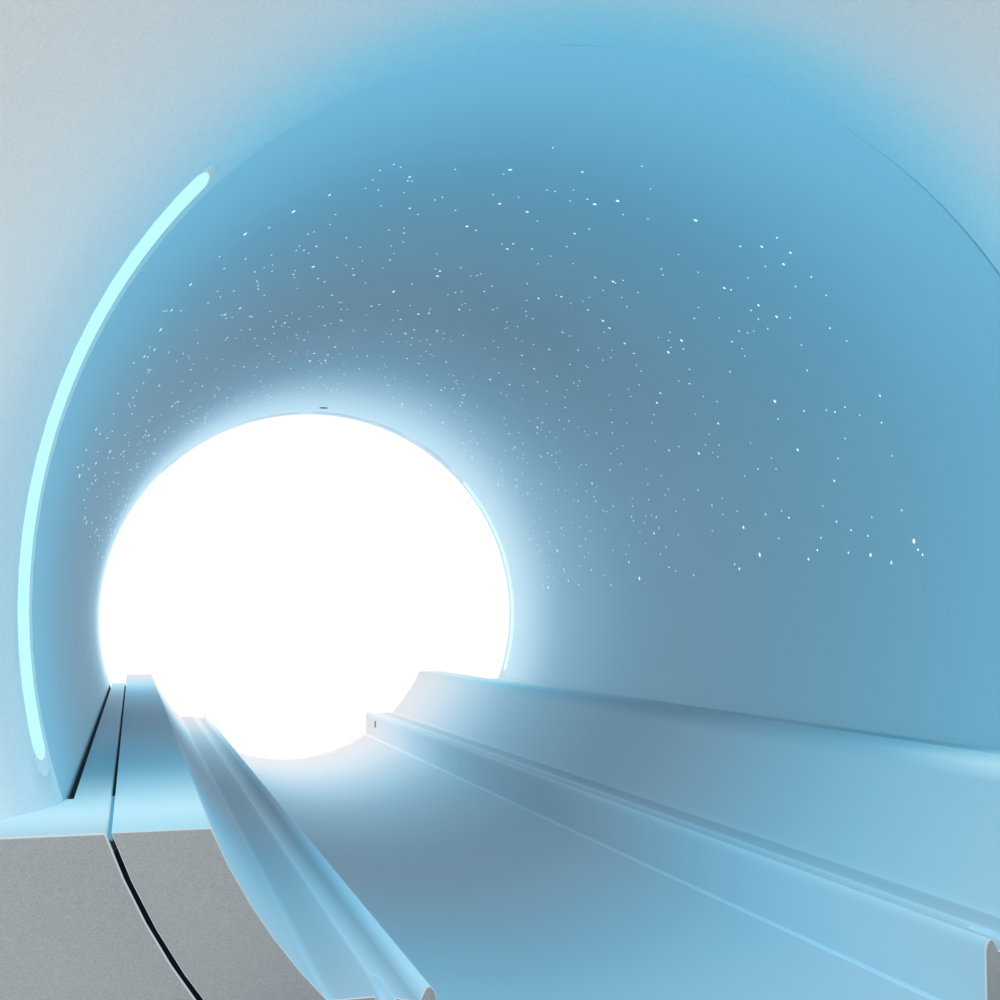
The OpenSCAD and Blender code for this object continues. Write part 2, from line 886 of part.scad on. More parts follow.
module side_cover_left() {
    color([0.9, 0.91, 0.92]) mirror([1, 0, 0]) side_cover();
}

module side_cover_right() {
    color([0.9, 0.91, 0.92]) side_cover();
}

module top_cover() {
    color([0.9, 0.91, 0.92])
        difference() {
            cover_band()
                translate([-top_half, axis_h])
                    square([2 * top_half, cover_top]);
            translate([0, neck_y, cover_top - 20])
                cylinder(h = 40, r = neck_r + 40);
            for (x = gland_x)
                translate([x, gland_y, cover_top - 20])
                    cylinder(h = 40, r = gland_r + fit);
        }
}

// Rounded box over the turret, open below
module hump_form(t) {
    h = hump_h - t;
    hull()
        for (sx = [-1, 1], sy = [-1, 1])
            translate([sx * (hump_w / 2 - 130), sy * (hump_l / 2 - 130), 0])
                cover_corner(130 - t, h, hump_round - t);
}

module turret_cover() {
    color([0.9, 0.91, 0.92])
        translate([0, hump_y, cover_top])
            difference() {
                hump_form(0);
                translate([0, 0, -eps]) hump_form(cover_t - eps);
                translate([vent_x, 0, hump_h / 2])
                    cylinder(h = hump_h, r = vent_r + vent_t + 2);
            }
}

// Posts between the vessel and the covers
module cover_posts() {
    color([0.5, 0.52, 0.54]) {
        for (a = [30:60:359])
            translate([post_ring * cos(a), 0, axis_h + post_ring * sin(a)])
                rotate([90, 0, 0]) {
                    translate([0, 0, vessel_y])
                        cylinder(h = -front_y - cover_t - vessel_y, r = post_r);
                    translate([0, 0, -rear_y + cover_t])
                        cylinder(h = rear_y - cover_t - vessel_y, r = post_r);
                }
        difference() {
            for (y = [-post_y, post_y]) {
                for (sx = [-1, 1])
                    translate([0, y, axis_h])
                        rotate([0, sx * 90, 0])
                            translate([0, 0, vessel_r - 20])
                                cylinder(h = cover_w / 2 - cover_t - vessel_r + 20, r = post_r);
                for (x = [-post_x, post_x])
                    translate([x, y, axis_h + vessel_r - 100])
                        cylinder(h = cover_top - cover_t - axis_h - vessel_r + 100, r = post_r);
            }
            translate([0, vessel_l, axis_h])
                rotate([90, 0, 0])
                    cylinder(h = 2 * vessel_l, r = vessel_r + fit, $fn = 180);
        }
    }
}

// A rounded rectangle w by h with corner radius r, centred
module rounded(w, h, r) {
    square([w - 2 * r, h], center = true);
    square([w, h - 2 * r], center = true);
    for (sx = [-1, 1], sy = [-1, 1])
        translate([sx * (w / 2 - r), sy * (h / 2 - r)])
            circle(r = r);
}

// Stands its children on the front cover's face at x, z, growing towards the patient
module on_face(x, z) {
    translate([x, front_y, z])
        rotate([90, 0, 0])
            children();
}

module info_display() {
    color([0.05, 0.06, 0.07])
        on_face(0, axis_h + r3 + 150) {
            linear_extrude(6) rounded(320, 150, 24);
            linear_extrude(8) rounded(300, 130, 16);
        }
}

module positioning_light() {
    color([0.12, 0.1, 0.12])
        on_face(0, axis_h + r3 + 38)
            difference() {
                linear_extrude(7) rounded(96, 30, 14.9);
                translate([0, 0, 5])
                    cube([70, 4, 6], center = true);
            }
}

module cable_glands() {
    color([0.3, 0.31, 0.33])
        for (x = gland_x)
            translate([x, gland_y, cover_top])
                difference() {
                    union() {
                        translate([0, 0, -cover_t - 10])
                            cylinder(h = cover_t + 12, r = gland_r);
                        cylinder(h = 9, r = gland_r + 6, $fn = 6);
                        cylinder(h = 20, r = gland_r - 1);
                    }
                    translate([0, 0, -20])
                        cylinder(h = 50, r = gland_bore);
                }
}

module panel() {
    difference() {
        union() {
            linear_extrude(panel_t) rounded(panel_w, panel_h, panel_w / 2 - 0.1);
            translate([0, stop_z, 0])
                cylinder(h = panel_t + stop_collar, r = stop_r + 6);
        }
        for (z = button_z)
            translate([0, z, 0]) {
                translate([0, 0, -1]) cylinder(h = panel_t + 2, r = button_r + fit);
                translate([0, 0, -1]) cylinder(h = panel_t - button_lip + 1, r = button_r + 2 + fit);
            }
        translate([0, stop_z, 1])
            cylinder(h = panel_t + stop_collar, r = stop_stem + fit);
    }
}

// A push button: a dished cap with a flange that the panel's lip retains
module button() {
    back = panel_t - button_lip - fit - button_flange;
    difference() {
        translate([0, 0, back]) {
            cylinder(h = button_flange, r = button_r + 2);
            cylinder(h = panel_t + button_proud - back, r = button_r);
        }
        translate([0, 0, panel_t + button_proud + 58])
            sphere(r = 60, $fn = 96);
    }
}

// A mushroom stop button on its stem
module stop_button() {
    translate([0, 0, 1 + stop_travel + fit])
        cylinder(h = panel_t + stop_collar, r = stop_stem);
    translate([0, 0, panel_t + stop_collar + stop_travel + fit])
        rotate_extrude() {
            square([stop_r, 7]);
            intersection() {
                translate([0, 7 - 40 + 6]) circle(r = 40);
                square([stop_r, 14]);
            }
        }
}

module panel_left() {
    color([0.3, 0.33, 0.36]) on_face(-panel_x, panel_z) panel();
}

module panel_right() {
    color([0.3, 0.33, 0.36]) on_face(panel_x, panel_z) panel();
}

module button_in_left() {
    color([0.85, 0.9, 0.93]) on_face(-panel_x, panel_z + button_z[0]) button();
}

module button_out_left() {
    color([0.85, 0.9, 0.93]) on_face(-panel_x, panel_z + button_z[1]) button();
}

module button_light_left() {
    color([0.55, 0.85, 0.9]) on_face(-panel_x, panel_z + button_z[2]) button();
}

module stop_left() {
    color([0.8, 0.1, 0.08]) on_face(-panel_x, panel_z + stop_z) stop_button();
}

module button_in_right() {
    color([0.85, 0.9, 0.93]) on_face(panel_x, panel_z + button_z[0]) button();
}

module button_out_right() {
    color([0.85, 0.9, 0.93]) on_face(panel_x, panel_z + button_z[1]) button();
}

module button_light_right() {
    color([0.55, 0.85, 0.9]) on_face(panel_x, panel_z + button_z[2]) button();
}

module stop_right() {
    color([0.8, 0.1, 0.08]) on_face(panel_x, panel_z + stop_z) stop_button();
}

// Base: a floor plate with anchor holes and a low rounded cover in one piece
module table_base() {
    color([0.8, 0.82, 0.84])
        translate([0, pedestal_y, 0])
            difference() {
                union() {
                    linear_extrude(base_plate) rounded(base_w, base_l, 90);
                    linear_extrude(base_h - 16) rounded(base_w - 60, base_l - 60, 80);
                    linear_extrude(base_h) rounded(base_w - 90, base_l - 90, 70);
                }
                translate([0, 0, base_plate])
                    linear_extrude(base_h)
                        rounded(skirt_w - 40, skirt_l - 60, 40);
                for (sx = [-1, 1], sy = [-1, 1])
                    translate([sx * (base_w / 2 - 80), sy * (base_l / 2 - 16), -1])
                        cylinder(h = base_plate + 2, d = base_hole_d);
            }
}

// Two telescopic lifting columns between the base plate and the frame
module lift_columns() {
    color([0.62, 0.63, 0.65])
        for (s = [-column_s, column_s])
            translate([0, pedestal_y + s, 0]) {
                translate([0, 0, base_plate])
                    linear_extrude(axis_h / 2 - base_plate)
                        difference() {
                            rounded(column_w, column_l, 12);
                            rounded(column_w - 16, column_l - 16, 8);
                        }
                translate([0, 0, axis_h / 2 - 120])
                    linear_extrude(axis_h + frame_low - axis_h / 2 + 120)
                        rounded(column_w - 16.6, column_l - 16.6, 8);
            }
}

module skirt(w, l, z0, z1) {
    translate([0, pedestal_y, z0])
        linear_extrude(z1 - z0)
            difference() {
                rounded(w, l, 60);
                rounded(w - 2 * skirt_t, l - 2 * skirt_t, 60 - skirt_t);
            }
}

module lower_skirt() {
    color([0.74, 0.77, 0.79])
        skirt(skirt_w, skirt_l, base_h, skirt_split + skirt_lap / 2);
}

module upper_skirt() {
    color([0.82, 0.84, 0.86])
        skirt(skirt_w + 2 * skirt_t + 6, skirt_l + 2 * skirt_t + 6,
              skirt_split - skirt_lap / 2, under_z);
}

// Boat-shaped cover under the frame
module under_form(t) {
    hull() {
        for (end = [frame_y - 150, frame_end + 60], sx = [-1, 1])
            translate([sx * (frame_hw - 43), end + (end > pedestal_y ? -40 : 40), axis_h + frame_low - 1])
                cylinder(h = 1, r = 40 - t, $fn = 32);
        for (end = [frame_y - 330, frame_end + 240], sx = [-1, 1])
            translate([sx * (frame_hw - 75), end + (end > pedestal_y ? -40 : 40), under_z + t])
                cylinder(h = 1, r = 40 - t, $fn = 32);
    }
}

module under_cover() {
    color([0.84, 0.86, 0.88])
        difference() {
            under_form(0);
            intersection() {
                under_form(skirt_t);
                translate([-frame_hw, frame_end, under_z + skirt_t])
                    cube([2 * frame_hw, frame_l, frame_d + under_d]);
            }
            for (s = [-column_s, column_s])
                translate([0, pedestal_y + s, under_z - 5])
                    linear_extrude(100)
                        rounded(column_w - 10, column_l - 10, 8);
        }
}

// Section of the frame: a box beam each side of the belt channel, with the guide rails on top
module frame_section(hollow) {
    difference() {
        union() {
            translate([-frame_hw, frame_low + 30])
                square([2 * frame_hw, frame_d - 30]);
            translate([-frame_hw + 30, frame_low])
                square([2 * frame_hw - 60, 40]);
            for (sx = [-1, 1])
                translate([sx * (frame_hw - 30), frame_low + 30])
                    circle(r = 30);
        }
        translate([-rail_in, deck_hollow])
            square([2 * rail_in, frame_d + 1]);
        for (side = [0, 1])
            mirror([side, 0]) {
                translate([rail_in - 1, groove_z])
                    polygon([[0, 0], [ridge_w + 1, 0], [ridge_w + 1 + groove_w, groove_d - 0.4],
                             [ridge_w + 2 + groove_w, groove_d], [ridge_w + 2 + groove_w, groove_d + 5],
                             [0, groove_d + 5]]);
                if (hollow)
                    translate([rail_in + frame_t, deck_hollow + 24])
                        square([frame_hw - rail_in - 2 * frame_t, frame_d - 2 * frame_t - 30]);
            }
    }
    // Ridges of the guide rails
    for (side = [0, 1])
        mirror([side, 0])
            polygon([
                [rail_in, groove_z - 2],
                [rail_in, ridge_z - 5],
                [rail_in + 0.8, ridge_z - 2.2],
                [rail_in + 2, ridge_z - 0.5],
                [rail_in + 3.2, ridge_z],
                [rail_in + 4.2, ridge_z - 0.6],
                [ridge_out, groove_z],
                [ridge_out, groove_z - 2]
            ]);
}

module table_frame() {
    color([0.72, 0.76, 0.79])
        difference() {
            union() {
                along(frame_end + 10, frame_y - nose_l - 10) frame_section(true);
                along(frame_y - nose_l - 10, frame_y) frame_section(false);
                along(frame_end, frame_end + 10) frame_section(false);
            }
            translate([-frame_hw - 1, frame_y - nose_l, axis_h + nose_z])
                cube([2 * frame_hw + 2, nose_l + 1, 100]);
        }
}

module frame_end_cap() {
    color([0.3, 0.33, 0.36])
        along(frame_end - 14, frame_end)
            difference() {
                union() {
                    translate([-frame_hw, frame_low + 30])
                        square([2 * frame_hw, frame_d - 34]);
                    translate([-frame_hw + 30, frame_low])
                        square([2 * frame_hw - 60, 40]);
                    for (sx = [-1, 1])
                        translate([sx * (frame_hw - 30), frame_low + 30])
                            circle(r = 30);
                }
                translate([0, frame_low + 24])
                    circle(r = 9);
            }
}

// Accessory rails along the frame's flanks, on spacers
module side_rails() {
    acc_l = frame_l - acc_rear - acc_front;
    color([0.75, 0.76, 0.78])
        for (sx = [-1, 1])
            translate([sx * frame_hw, frame_end + acc_rear, axis_h + rail_z - 34]) {
                translate([sx * 19 - 5, 0, -12.5])
                    cube([10, acc_l, 25]);
                for (i = [0:4])
                    translate([0, 80 + i * (acc_l - 160) / 4, 0])
                        rotate([0, sx * 90, 0])
                            cylinder(h = 14, r = 8);
            }
}

// Gear motor on its foot, with a socket for the drive pulley's shaft
module drive_motor() {
    color([0.25, 0.27, 0.3])
        translate([bracket_x + bracket_t, drive_y, belt_z])
            difference() {
                union() {
                    rotate([0, 90, 0]) {
                        cylinder(h = motor_l, r = motor_r);
                        cylinder(h = 8, r = motor_r + 4);
                    }
                    translate([14, -motor_r, axis_h + deck_hollow - belt_z])
                        cube([motor_l - 28, 2 * motor_r, belt_z - axis_h - deck_hollow - 10]);
                }
                rotate([0, 90, 0])
                    translate([0, 0, -1])
                        cylinder(h = shaft_in + 2, r = shaft_r + shaft_fit);
            }
}

// Flanged pulley with lightening holes, turning about X
module belt_pulley() {
    difference() {
        union() {
            cylinder(h = belt_w + 1, r = pulley_r, center = true);
            for (side = [-1, 1])
                translate([0, 0, side * (belt_w / 2 + 1.5)])
                    cylinder(h = 2, r = pulley_r + belt_t + 2, center = true);
        }
        for (a = [0:60:300])
            rotate(a)
                translate([pulley_r - 9, 0, 0])
                    cylinder(h = belt_w + 10, r = 3.5, center = true, $fn = 24);
    }
}

// The drive pulley turns with its shaft, which ends in the motor's socket
module drive_pulley() {
    color([0.7, 0.71, 0.73])
        translate([0, drive_y, belt_z])
            rotate([0, 90, 0]) {
                belt_pulley();
                translate([0, 0, -bracket_x - bracket_t])
                    cylinder(h = 2 * (bracket_x + bracket_t) + shaft_in, r = shaft_r);
            }
}

// The idler turns on a fixed pin
module idler_pulley() {
    color([0.7, 0.71, 0.73])
        translate([0, idler_y, belt_z])
            rotate([0, 90, 0])
                difference() {
                    belt_pulley();
                    cylinder(h = belt_w + 10, r = shaft_r + shaft_fit, center = true);
                }
}

// Two upright sides on the channel's floor
module bracket_sides(y) {
    for (x = [-bracket_x - bracket_t, bracket_x])
        translate([x, y - 16, axis_h + deck_hollow])
            cube([bracket_t, 32, belt_z - axis_h - deck_hollow + 12]);
}

module drive_bracket() {
    color([0.5, 0.52, 0.54])
        difference() {
            bracket_sides(drive_y);
            translate([-50, drive_y, belt_z])
                rotate([0, 90, 0])
                    cylinder(h = 100, r = shaft_r + shaft_fit);
        }
}

module idler_bracket() {
    color([0.5, 0.52, 0.54]) {
        bracket_sides(idler_y);
        translate([-bracket_x - bracket_t / 2, idler_y, belt_z])
            rotate([0, 90, 0])
                cylinder(h = 2 * bracket_x + bracket_t, r = shaft_r);
    }
}

// Flat belt round both pulleys
module drive_belt() {
    inner = pulley_r + fit;
    color([0.12, 0.12, 0.13])
        translate([-belt_w / 2, 0, belt_z])
            rotate([90, 0, 90])
                linear_extrude(belt_w)
                    difference() {
                        union() {
                            for (y = [drive_y, idler_y])
                                translate([y, 0]) circle(r = inner + belt_t);
                            translate([drive_y, -inner - belt_t])
                                square([idler_y - drive_y, 2 * (inner + belt_t)]);
                        }
                        for (y = [drive_y, idler_y])
                            translate([y, 0]) circle(r = inner);
                        translate([drive_y, -inner])
                            square([idler_y - drive_y, 2 * inner]);
                    }
}

// Plan outline of the tabletop, moved in by t
module top_plan(t) {
    translate([0, (top_front + top_back) / 2])
        rounded(2 * top_edge_x + 20 - 2 * t, top_l - 2 * t, top_corner - t);
}

module tabletop() {
    color([0.9, 0.92, 0.93])
        intersection() {
            along(top_back, top_front)
                difference() {
                    intersection() {
                        circle(r = top_r);
                        translate([-top_r, top_low])
                            square([2 * top_r, top_edge_z - top_low]);
                    }
                    translate([0, hollow_c]) circle(r = hollow_r, $fn = 360);
                }
            linear_extrude(axis_h) top_plan(0);
        }
}

// Mattress in the tabletop's hollow
module mattress() {
    color([0.24, 0.31, 0.38])
        intersection() {
            along(top_back + mattress_inset, top_front - mattress_inset)
                intersection() {
                    translate([0, hollow_c]) circle(r = hollow_r - fit, $fn = 360);
                    translate([0, mattress_z - mattress_hw / 2])
                        rounded(2 * mattress_hw, mattress_hw, mattress_round);
                }
            linear_extrude(axis_h) top_plan(mattress_inset + 6);
        }
}

// Strips under the tabletop that run in the guide grooves
module glide_strips() {
    color([0.95, 0.95, 0.93])
        along(top_back + 60, top_front - 60)
            for (side = [0, 1])
                mirror([side, 0])
                    polygon([
                        [ridge_out + 2.4, top_low],
                        [ridge_out + 2.4, groove_z + fit + 2.4 * groove_d / groove_w],
                        [groove_out - 2, rail_z - 0.4 + fit - 2 * groove_d / groove_w],
                        [groove_out - 2, top_low]
                    ]);
}

// Clamp that joins the tabletop to the belt's upper run
module belt_clamp() {
    run = belt_z + pulley_r + fit;
    color([0.55, 0.57, 0.6])
        translate([-belt_w / 2 - 5, clamp_y - clamp_l / 2, 0])
            difference() {
                translate([0, 0, run - 5])
                    cube([belt_w + 10, clamp_l, axis_h + top_low - run + 5]);
                translate([5 - fit, -1, run - fit])
                    cube([belt_w + 2 * fit, clamp_l + 2, belt_t + 2 * fit]);
            }
}

// Handle on the tabletop's foot end
module pull_handle() {
    bar_z = axis_h + top_low + handle_r + 1;
    color([0.3, 0.33, 0.36])
        translate([0, top_back, bar_z]) {
            for (sx = [-1, 1])
                translate([sx * (handle_w / 2), 0, 0]) {
                    rotate([90, 0, 0])
                        cylinder(h = 36, r = handle_r);
                }
            translate([-handle_w / 2, -36, 0])
                sphere(r = handle_r);
            translate([handle_w / 2, -36, 0])
                sphere(r = handle_r);
            translate([-handle_w / 2, -36, 0])
                rotate([0, 90, 0])
                    cylinder(h = handle_w, r = handle_r);
        }
}

magnet_vessel();
magnet_feet();
service_turret();
turret_bolts();
cold_head();
vent_pipe();
gradient_coil();
coil_wedges();
body_coil();
bore_liner();
bore_microphone();
bridge_cradle();
bridge();
bridge_pads();
gap_seals();
front_funnel();
rear_funnel();
front_cover();
rear_cover();
side_cover_left();
side_cover_right();
top_cover();
turret_cover();
cover_posts();
front_light_left();
front_light_right();
rear_light_left();
rear_light_right();
info_display();
positioning_light();
cable_glands();
panel_left();
panel_right();
button_in_left();
button_out_left();
button_light_left();
stop_left();
button_in_right();
button_out_right();
button_light_right();
stop_right();
table_base();
lift_columns();
lower_skirt();
upper_skirt();
under_cover();
table_frame();
frame_end_cap();
side_rails();
drive_motor();
drive_bracket();
drive_belt();
drive_pulley();
idler_bracket();
idler_pulley();
tabletop();
mattress();
glide_strips();
belt_clamp();
pull_handle();
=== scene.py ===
import json
import math
import random

import bpy
from mathutils import Matrix, Vector

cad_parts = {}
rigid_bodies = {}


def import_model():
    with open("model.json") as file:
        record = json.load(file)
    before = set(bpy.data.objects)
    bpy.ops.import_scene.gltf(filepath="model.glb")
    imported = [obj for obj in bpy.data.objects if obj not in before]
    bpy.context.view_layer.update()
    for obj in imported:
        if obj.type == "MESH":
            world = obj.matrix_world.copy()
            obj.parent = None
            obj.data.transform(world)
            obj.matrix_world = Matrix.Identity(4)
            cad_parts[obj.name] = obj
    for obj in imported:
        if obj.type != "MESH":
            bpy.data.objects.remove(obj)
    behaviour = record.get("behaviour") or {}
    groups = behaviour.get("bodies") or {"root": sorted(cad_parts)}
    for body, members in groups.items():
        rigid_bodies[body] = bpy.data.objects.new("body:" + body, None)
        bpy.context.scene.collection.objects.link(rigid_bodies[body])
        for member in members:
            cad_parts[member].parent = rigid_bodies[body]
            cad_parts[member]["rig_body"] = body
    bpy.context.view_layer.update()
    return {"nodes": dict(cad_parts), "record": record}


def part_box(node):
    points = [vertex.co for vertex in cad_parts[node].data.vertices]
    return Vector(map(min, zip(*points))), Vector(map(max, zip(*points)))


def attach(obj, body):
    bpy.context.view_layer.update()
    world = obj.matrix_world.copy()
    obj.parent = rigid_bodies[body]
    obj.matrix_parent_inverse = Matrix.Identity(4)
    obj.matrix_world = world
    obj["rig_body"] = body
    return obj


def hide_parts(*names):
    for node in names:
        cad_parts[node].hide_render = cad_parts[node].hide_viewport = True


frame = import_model()
cadNodes = frame["nodes"]
scene = bpy.context.scene
scene.view_settings.view_transform = "Standard"
random.seed(41)
print("frame loaded:", len(cadNodes), "nodes")

# Heights and lengths that the looks share with the solids, in metres
bore = {
    "radius": 0.3,
    "axis": 1.07,  # height of the middle line
    "half": 0.7175,  # the liner runs from -half to half along Y
    "frontFace": -0.8422,  # front end of the bridge and the cradle
    "shelf": 0.9725,  # height of the two shelves
}


# Camera: at the patient's end of the bore, a little left of the middle
cameraLook = {
    "lens": 51.993,
    "sensor": 36.0,
    "shift": (-0.140976, 0.004133),
    "place": (-0.25559, -1.4505, 1.05313),
    "pitch": 4.8018,
    "yaw": 19.3528,
    "near": 0.02,
    "far": 200.0,
}
cameraData = bpy.data.cameras.new("camera")
cameraData.lens = cameraLook["lens"]
cameraData.sensor_width = cameraLook["sensor"]
cameraData.shift_x, cameraData.shift_y = cameraLook["shift"]
cameraData.clip_start = cameraLook["near"]
cameraData.clip_end = cameraLook["far"]
camera = bpy.data.objects.new("camera", cameraData)
camera.location = cameraLook["place"]
camera.rotation_euler = (math.radians(90 + cameraLook["pitch"]), 0.0, -math.radians(cameraLook["yaw"]))
scene.collection.objects.link(camera)
scene.camera = camera


# Helpers for materials
def screenTone(r, g, b):
    # A tone as it looks on a screen, 0 to 255, as a linear colour
    def linear(v):
        v = v / 255.0
        return v / 12.92 if v <= 0.04045 else ((v + 0.055) / 1.055) ** 2.4

    return (linear(r), linear(g), linear(b), 1.0)


def dimmed(tone, share):
    return tuple(c * share for c in tone[:3]) + (1.0,)


def addNode(tree, kind, place=(0, 0), **settings):
    node = tree.nodes.new(kind)
    node.location = place
    for key, value in settings.items():
        setattr(node, key, value)
    return node


def wire(tree, start, end):
    tree.links.new(start, end)


def feed(tree, value, socket):
    # A number or tone is set on the socket, anything else is wired to it
    if isinstance(value, (int, float, tuple)):
        socket.default_value = value
    else:
        wire(tree, value, socket)


def newFinish(name, look):
    material = bpy.data.materials.new(name)
    material.use_nodes = True
    material.cycles.emission_sampling = "NONE"  # faint glows need no light samples of their own
    tree = material.node_tree
    shader = tree.nodes["Principled BSDF"]
    shader.inputs["Base Color"].default_value = screenTone(*look["tone"])
    shader.inputs["Roughness"].default_value = look["roughness"]
    shader.inputs["Metallic"].default_value = look.get("metallic", 0.0)
    shader.inputs["Specular IOR Level"].default_value = look.get("specular", 0.5)
    return material, tree, shader


def objectPlace(tree):
    return addNode(tree, "ShaderNodeTexCoord", (-1500, 0)).outputs["Object"]


def splitAxes(tree, place, nodePlace=(-1300, 100)):
    node = addNode(tree, "ShaderNodeSeparateXYZ", nodePlace)
    wire(tree, place, node.inputs["Vector"])
    return node.outputs


def makeGroup(name, inputs, outputs):
    group = bpy.data.node_groups.new(name, "ShaderNodeTree")
    for label, kind, value in inputs:
        socket = group.interface.new_socket(name=label, in_out="INPUT", socket_type=kind)
        if value is not None:
            socket.default_value = value
    for label, kind in outputs:
        group.interface.new_socket(name=label, in_out="OUTPUT", socket_type=kind)
    start = addNode(group, "NodeGroupInput", (-900, 0))
    end = addNode(group, "NodeGroupOutput", (700, 0))
    return group, start.outputs, end.inputs


def placeGroup(tree, group, nodePlace, place, values=None):
    # The group in a material, with the surface's place and its own values
    node = addNode(tree, "ShaderNodeGroup", nodePlace)
    node.node_tree = group
    wire(tree, place, node.inputs["Place"])
    for label, value in (values or {}).items():
        node.inputs[label].default_value = value
    return node.outputs


def mathNode(tree, operation, first, second=None, place=(0, 0)):
    node = addNode(tree, "ShaderNodeMath", place, operation=operation)
    feed(tree, first, node.inputs[0])
    if second is not None:
        feed(tree, second, node.inputs[1])
    return node.outputs[0]


def vectorNode(tree, operation, value, place=(0, 0)):
    node = addNode(tree, "ShaderNodeVectorMath", place, operation=operation)
    wire(tree, value, node.inputs[0])
    return node


def scaleAndShift(tree, value, scale, shift, place=(0, 0)):
    node = vectorNode(tree, "MULTIPLY_ADD", value, place)
    node.inputs[1].default_value = scale
    node.inputs[2].default_value = shift
    return node.outputs["Vector"]


def mixTone(tree, factor, first, second, place=(0, 0), blend="MIX"):
    node = addNode(tree, "ShaderNodeMix", place, data_type="RGBA", blend_type=blend)
    for index, value in ((0, factor), (6, first), (7, second)):  # 6 and 7 are the node's colour inputs
        feed(tree, value, node.inputs[index])
    return node.outputs[2]


def noiseNode(tree, place, perMetre, detail, nodePlace=(0, 0), distortion=0.0):
    node = addNode(tree, "ShaderNodeTexNoise", nodePlace)
    node.inputs["Detail"].default_value = detail
    node.inputs["Distortion"].default_value = distortion
    wire(tree, place, node.inputs["Vector"])
    feed(tree, perMetre, node.inputs["Scale"])
    return node.outputs["Fac"]


def stepMask(tree, value, start, end, place=(0, 0), low=0.0, high=1.0):
    # Goes from low to high as the value goes from start to end, and stays there
    node = addNode(tree, "ShaderNodeMapRange", place)
    for label, number in (("From Min", start), ("From Max", end), ("To Min", low), ("To Max", high)):
        node.inputs[label].default_value = number
    wire(tree, value, node.inputs["Value"])
    return node.outputs["Result"]


def levelMask(tree, axes, base, span, place=(0, 0)):
    # Goes from 0 to 1 between two heights measured from base
    return stepMask(tree, axes["Z"], base + span[0], base + span[1], place)


def boxMask(tree, value, middle, half, soft, place=(0, 0)):
    # 1 inside a box round middle, 0 outside; half is its half size, soft the share over which it fades
    scale = [1.0 / h for h in half]
    shift = [-m / h for m, h in zip(middle, half)]
    scaled = scaleAndShift(tree, value, scale, shift, place)
    apart = vectorNode(tree, "ABSOLUTE", scaled, (place[0] + 200, place[1])).outputs["Vector"]
    parts = splitAxes(tree, apart, (place[0] + 400, place[1]))
    most = mathNode(tree, "MAXIMUM", parts["X"], parts["Z"], (place[0] + 600, place[1]))
    most = mathNode(tree, "MAXIMUM", most, parts["Y"], (place[0] + 800, place[1]))
    return stepMask(tree, most, 1.0 + soft, 1.0, (place[0] + 1000, place[1]))


def axisDistance(tree, place):
    # Distance from the bore's axis
    across = scaleAndShift(tree, place, (1.0, 0.0, 1.0), (0.0, 0.0, -bore["axis"]), (-1400, -500))
    return vectorNode(tree, "LENGTH", across, (-1200, -500)).outputs["Value"]


def rampAlong(tree, value, stops, place=(0, 0)):
    # A row of tones, each at its own distance in metres
    low, high = stops[0][0], stops[-1][0]
    ramp = addNode(tree, "ShaderNodeValToRGB", place)
    ramp.color_ramp.interpolation = "CARDINAL"
    elements = ramp.color_ramp.elements
    while len(elements) < len(stops):
        elements.new(0.5)
    for element, (at, tone) in zip(elements, stops):
        element.position = (at - low) / (high - low)
        element.color = screenTone(*tone) if len(tone) == 3 else tone
    wire(tree, stepMask(tree, value, low, high, (place[0] - 250, place[1])), ramp.inputs["Fac"])
    return ramp.outputs["Color"]


def addRelief(tree, shader, height, strength, depth):
    bump = addNode(tree, "ShaderNodeBump", (-250, -350))
    bump.inputs["Strength"].default_value = strength
    bump.inputs["Distance"].default_value = depth
    wire(tree, height, bump.inputs["Height"])
    wire(tree, bump.outputs["Normal"], shader.inputs["Normal"])


def varyGloss(tree, shader, value, roughness, change, span=(0.0, 1.0)):
    # Roughness goes down and up by the two numbers in change as the value crosses span
    low, high = roughness - change[0], roughness + change[1]
    wire(tree, stepMask(tree, value, *span, (-700, 400), low, high), shader.inputs["Roughness"])


def glowingTone(tree, shader, tone, strength):
    # The mood light in the bore: the surface gives off part of its own tone
    wire(tree, tone, shader.inputs["Base Color"])
    wire(tree, tone, shader.inputs["Emission Color"])
    shader.inputs["Emission Strength"].default_value = strength


# Moulded grain: small soft pebbles with finer pits, as on textured covers
grainLook = {"pebbles": 420.0, "fine": 0.4, "pitsPerPebble": 2.6, "pitDetail": 1.0, "shadeSpan": (0.35, 1.25)}
mouldedGrain, grainIn, grainOut = makeGroup(
    "mouldedGrain",
    [
        ("Place", "NodeSocketVector", None),
        ("Pebbles per metre", "NodeSocketFloat", grainLook["pebbles"]),
        ("Fine", "NodeSocketFloat", grainLook["fine"]),
    ],
    [("Height", "NodeSocketFloat"), ("Shade", "NodeSocketFloat")],
)
perMetre = grainIn["Pebbles per metre"]
pebbles = noiseNode(mouldedGrain, grainIn["Place"], perMetre, 0.0, (-600, 200))
pitsPerMetre = mathNode(mouldedGrain, "MULTIPLY", perMetre, grainLook["pitsPerPebble"], (-780, -120))
pits = noiseNode(mouldedGrain, grainIn["Place"], pitsPerMetre, grainLook["pitDetail"], (-600, -100))
fineShare = mathNode(mouldedGrain, "MULTIPLY", pits, grainIn["Fine"], (-350, -80))
pebbleTops = mathNode(mouldedGrain, "SUBTRACT", 1.0, pebbles, (-350, 180))
grainHeight = mathNode(mouldedGrain, "ADD", pebbleTops, fineShare, (-100, 60))
wire(mouldedGrain, grainHeight, grainOut["Height"])
grainShade = stepMask(mouldedGrain, grainHeight, *grainLook["shadeSpan"], (200, -100))
wire(mouldedGrain, grainShade, grainOut["Shade"])

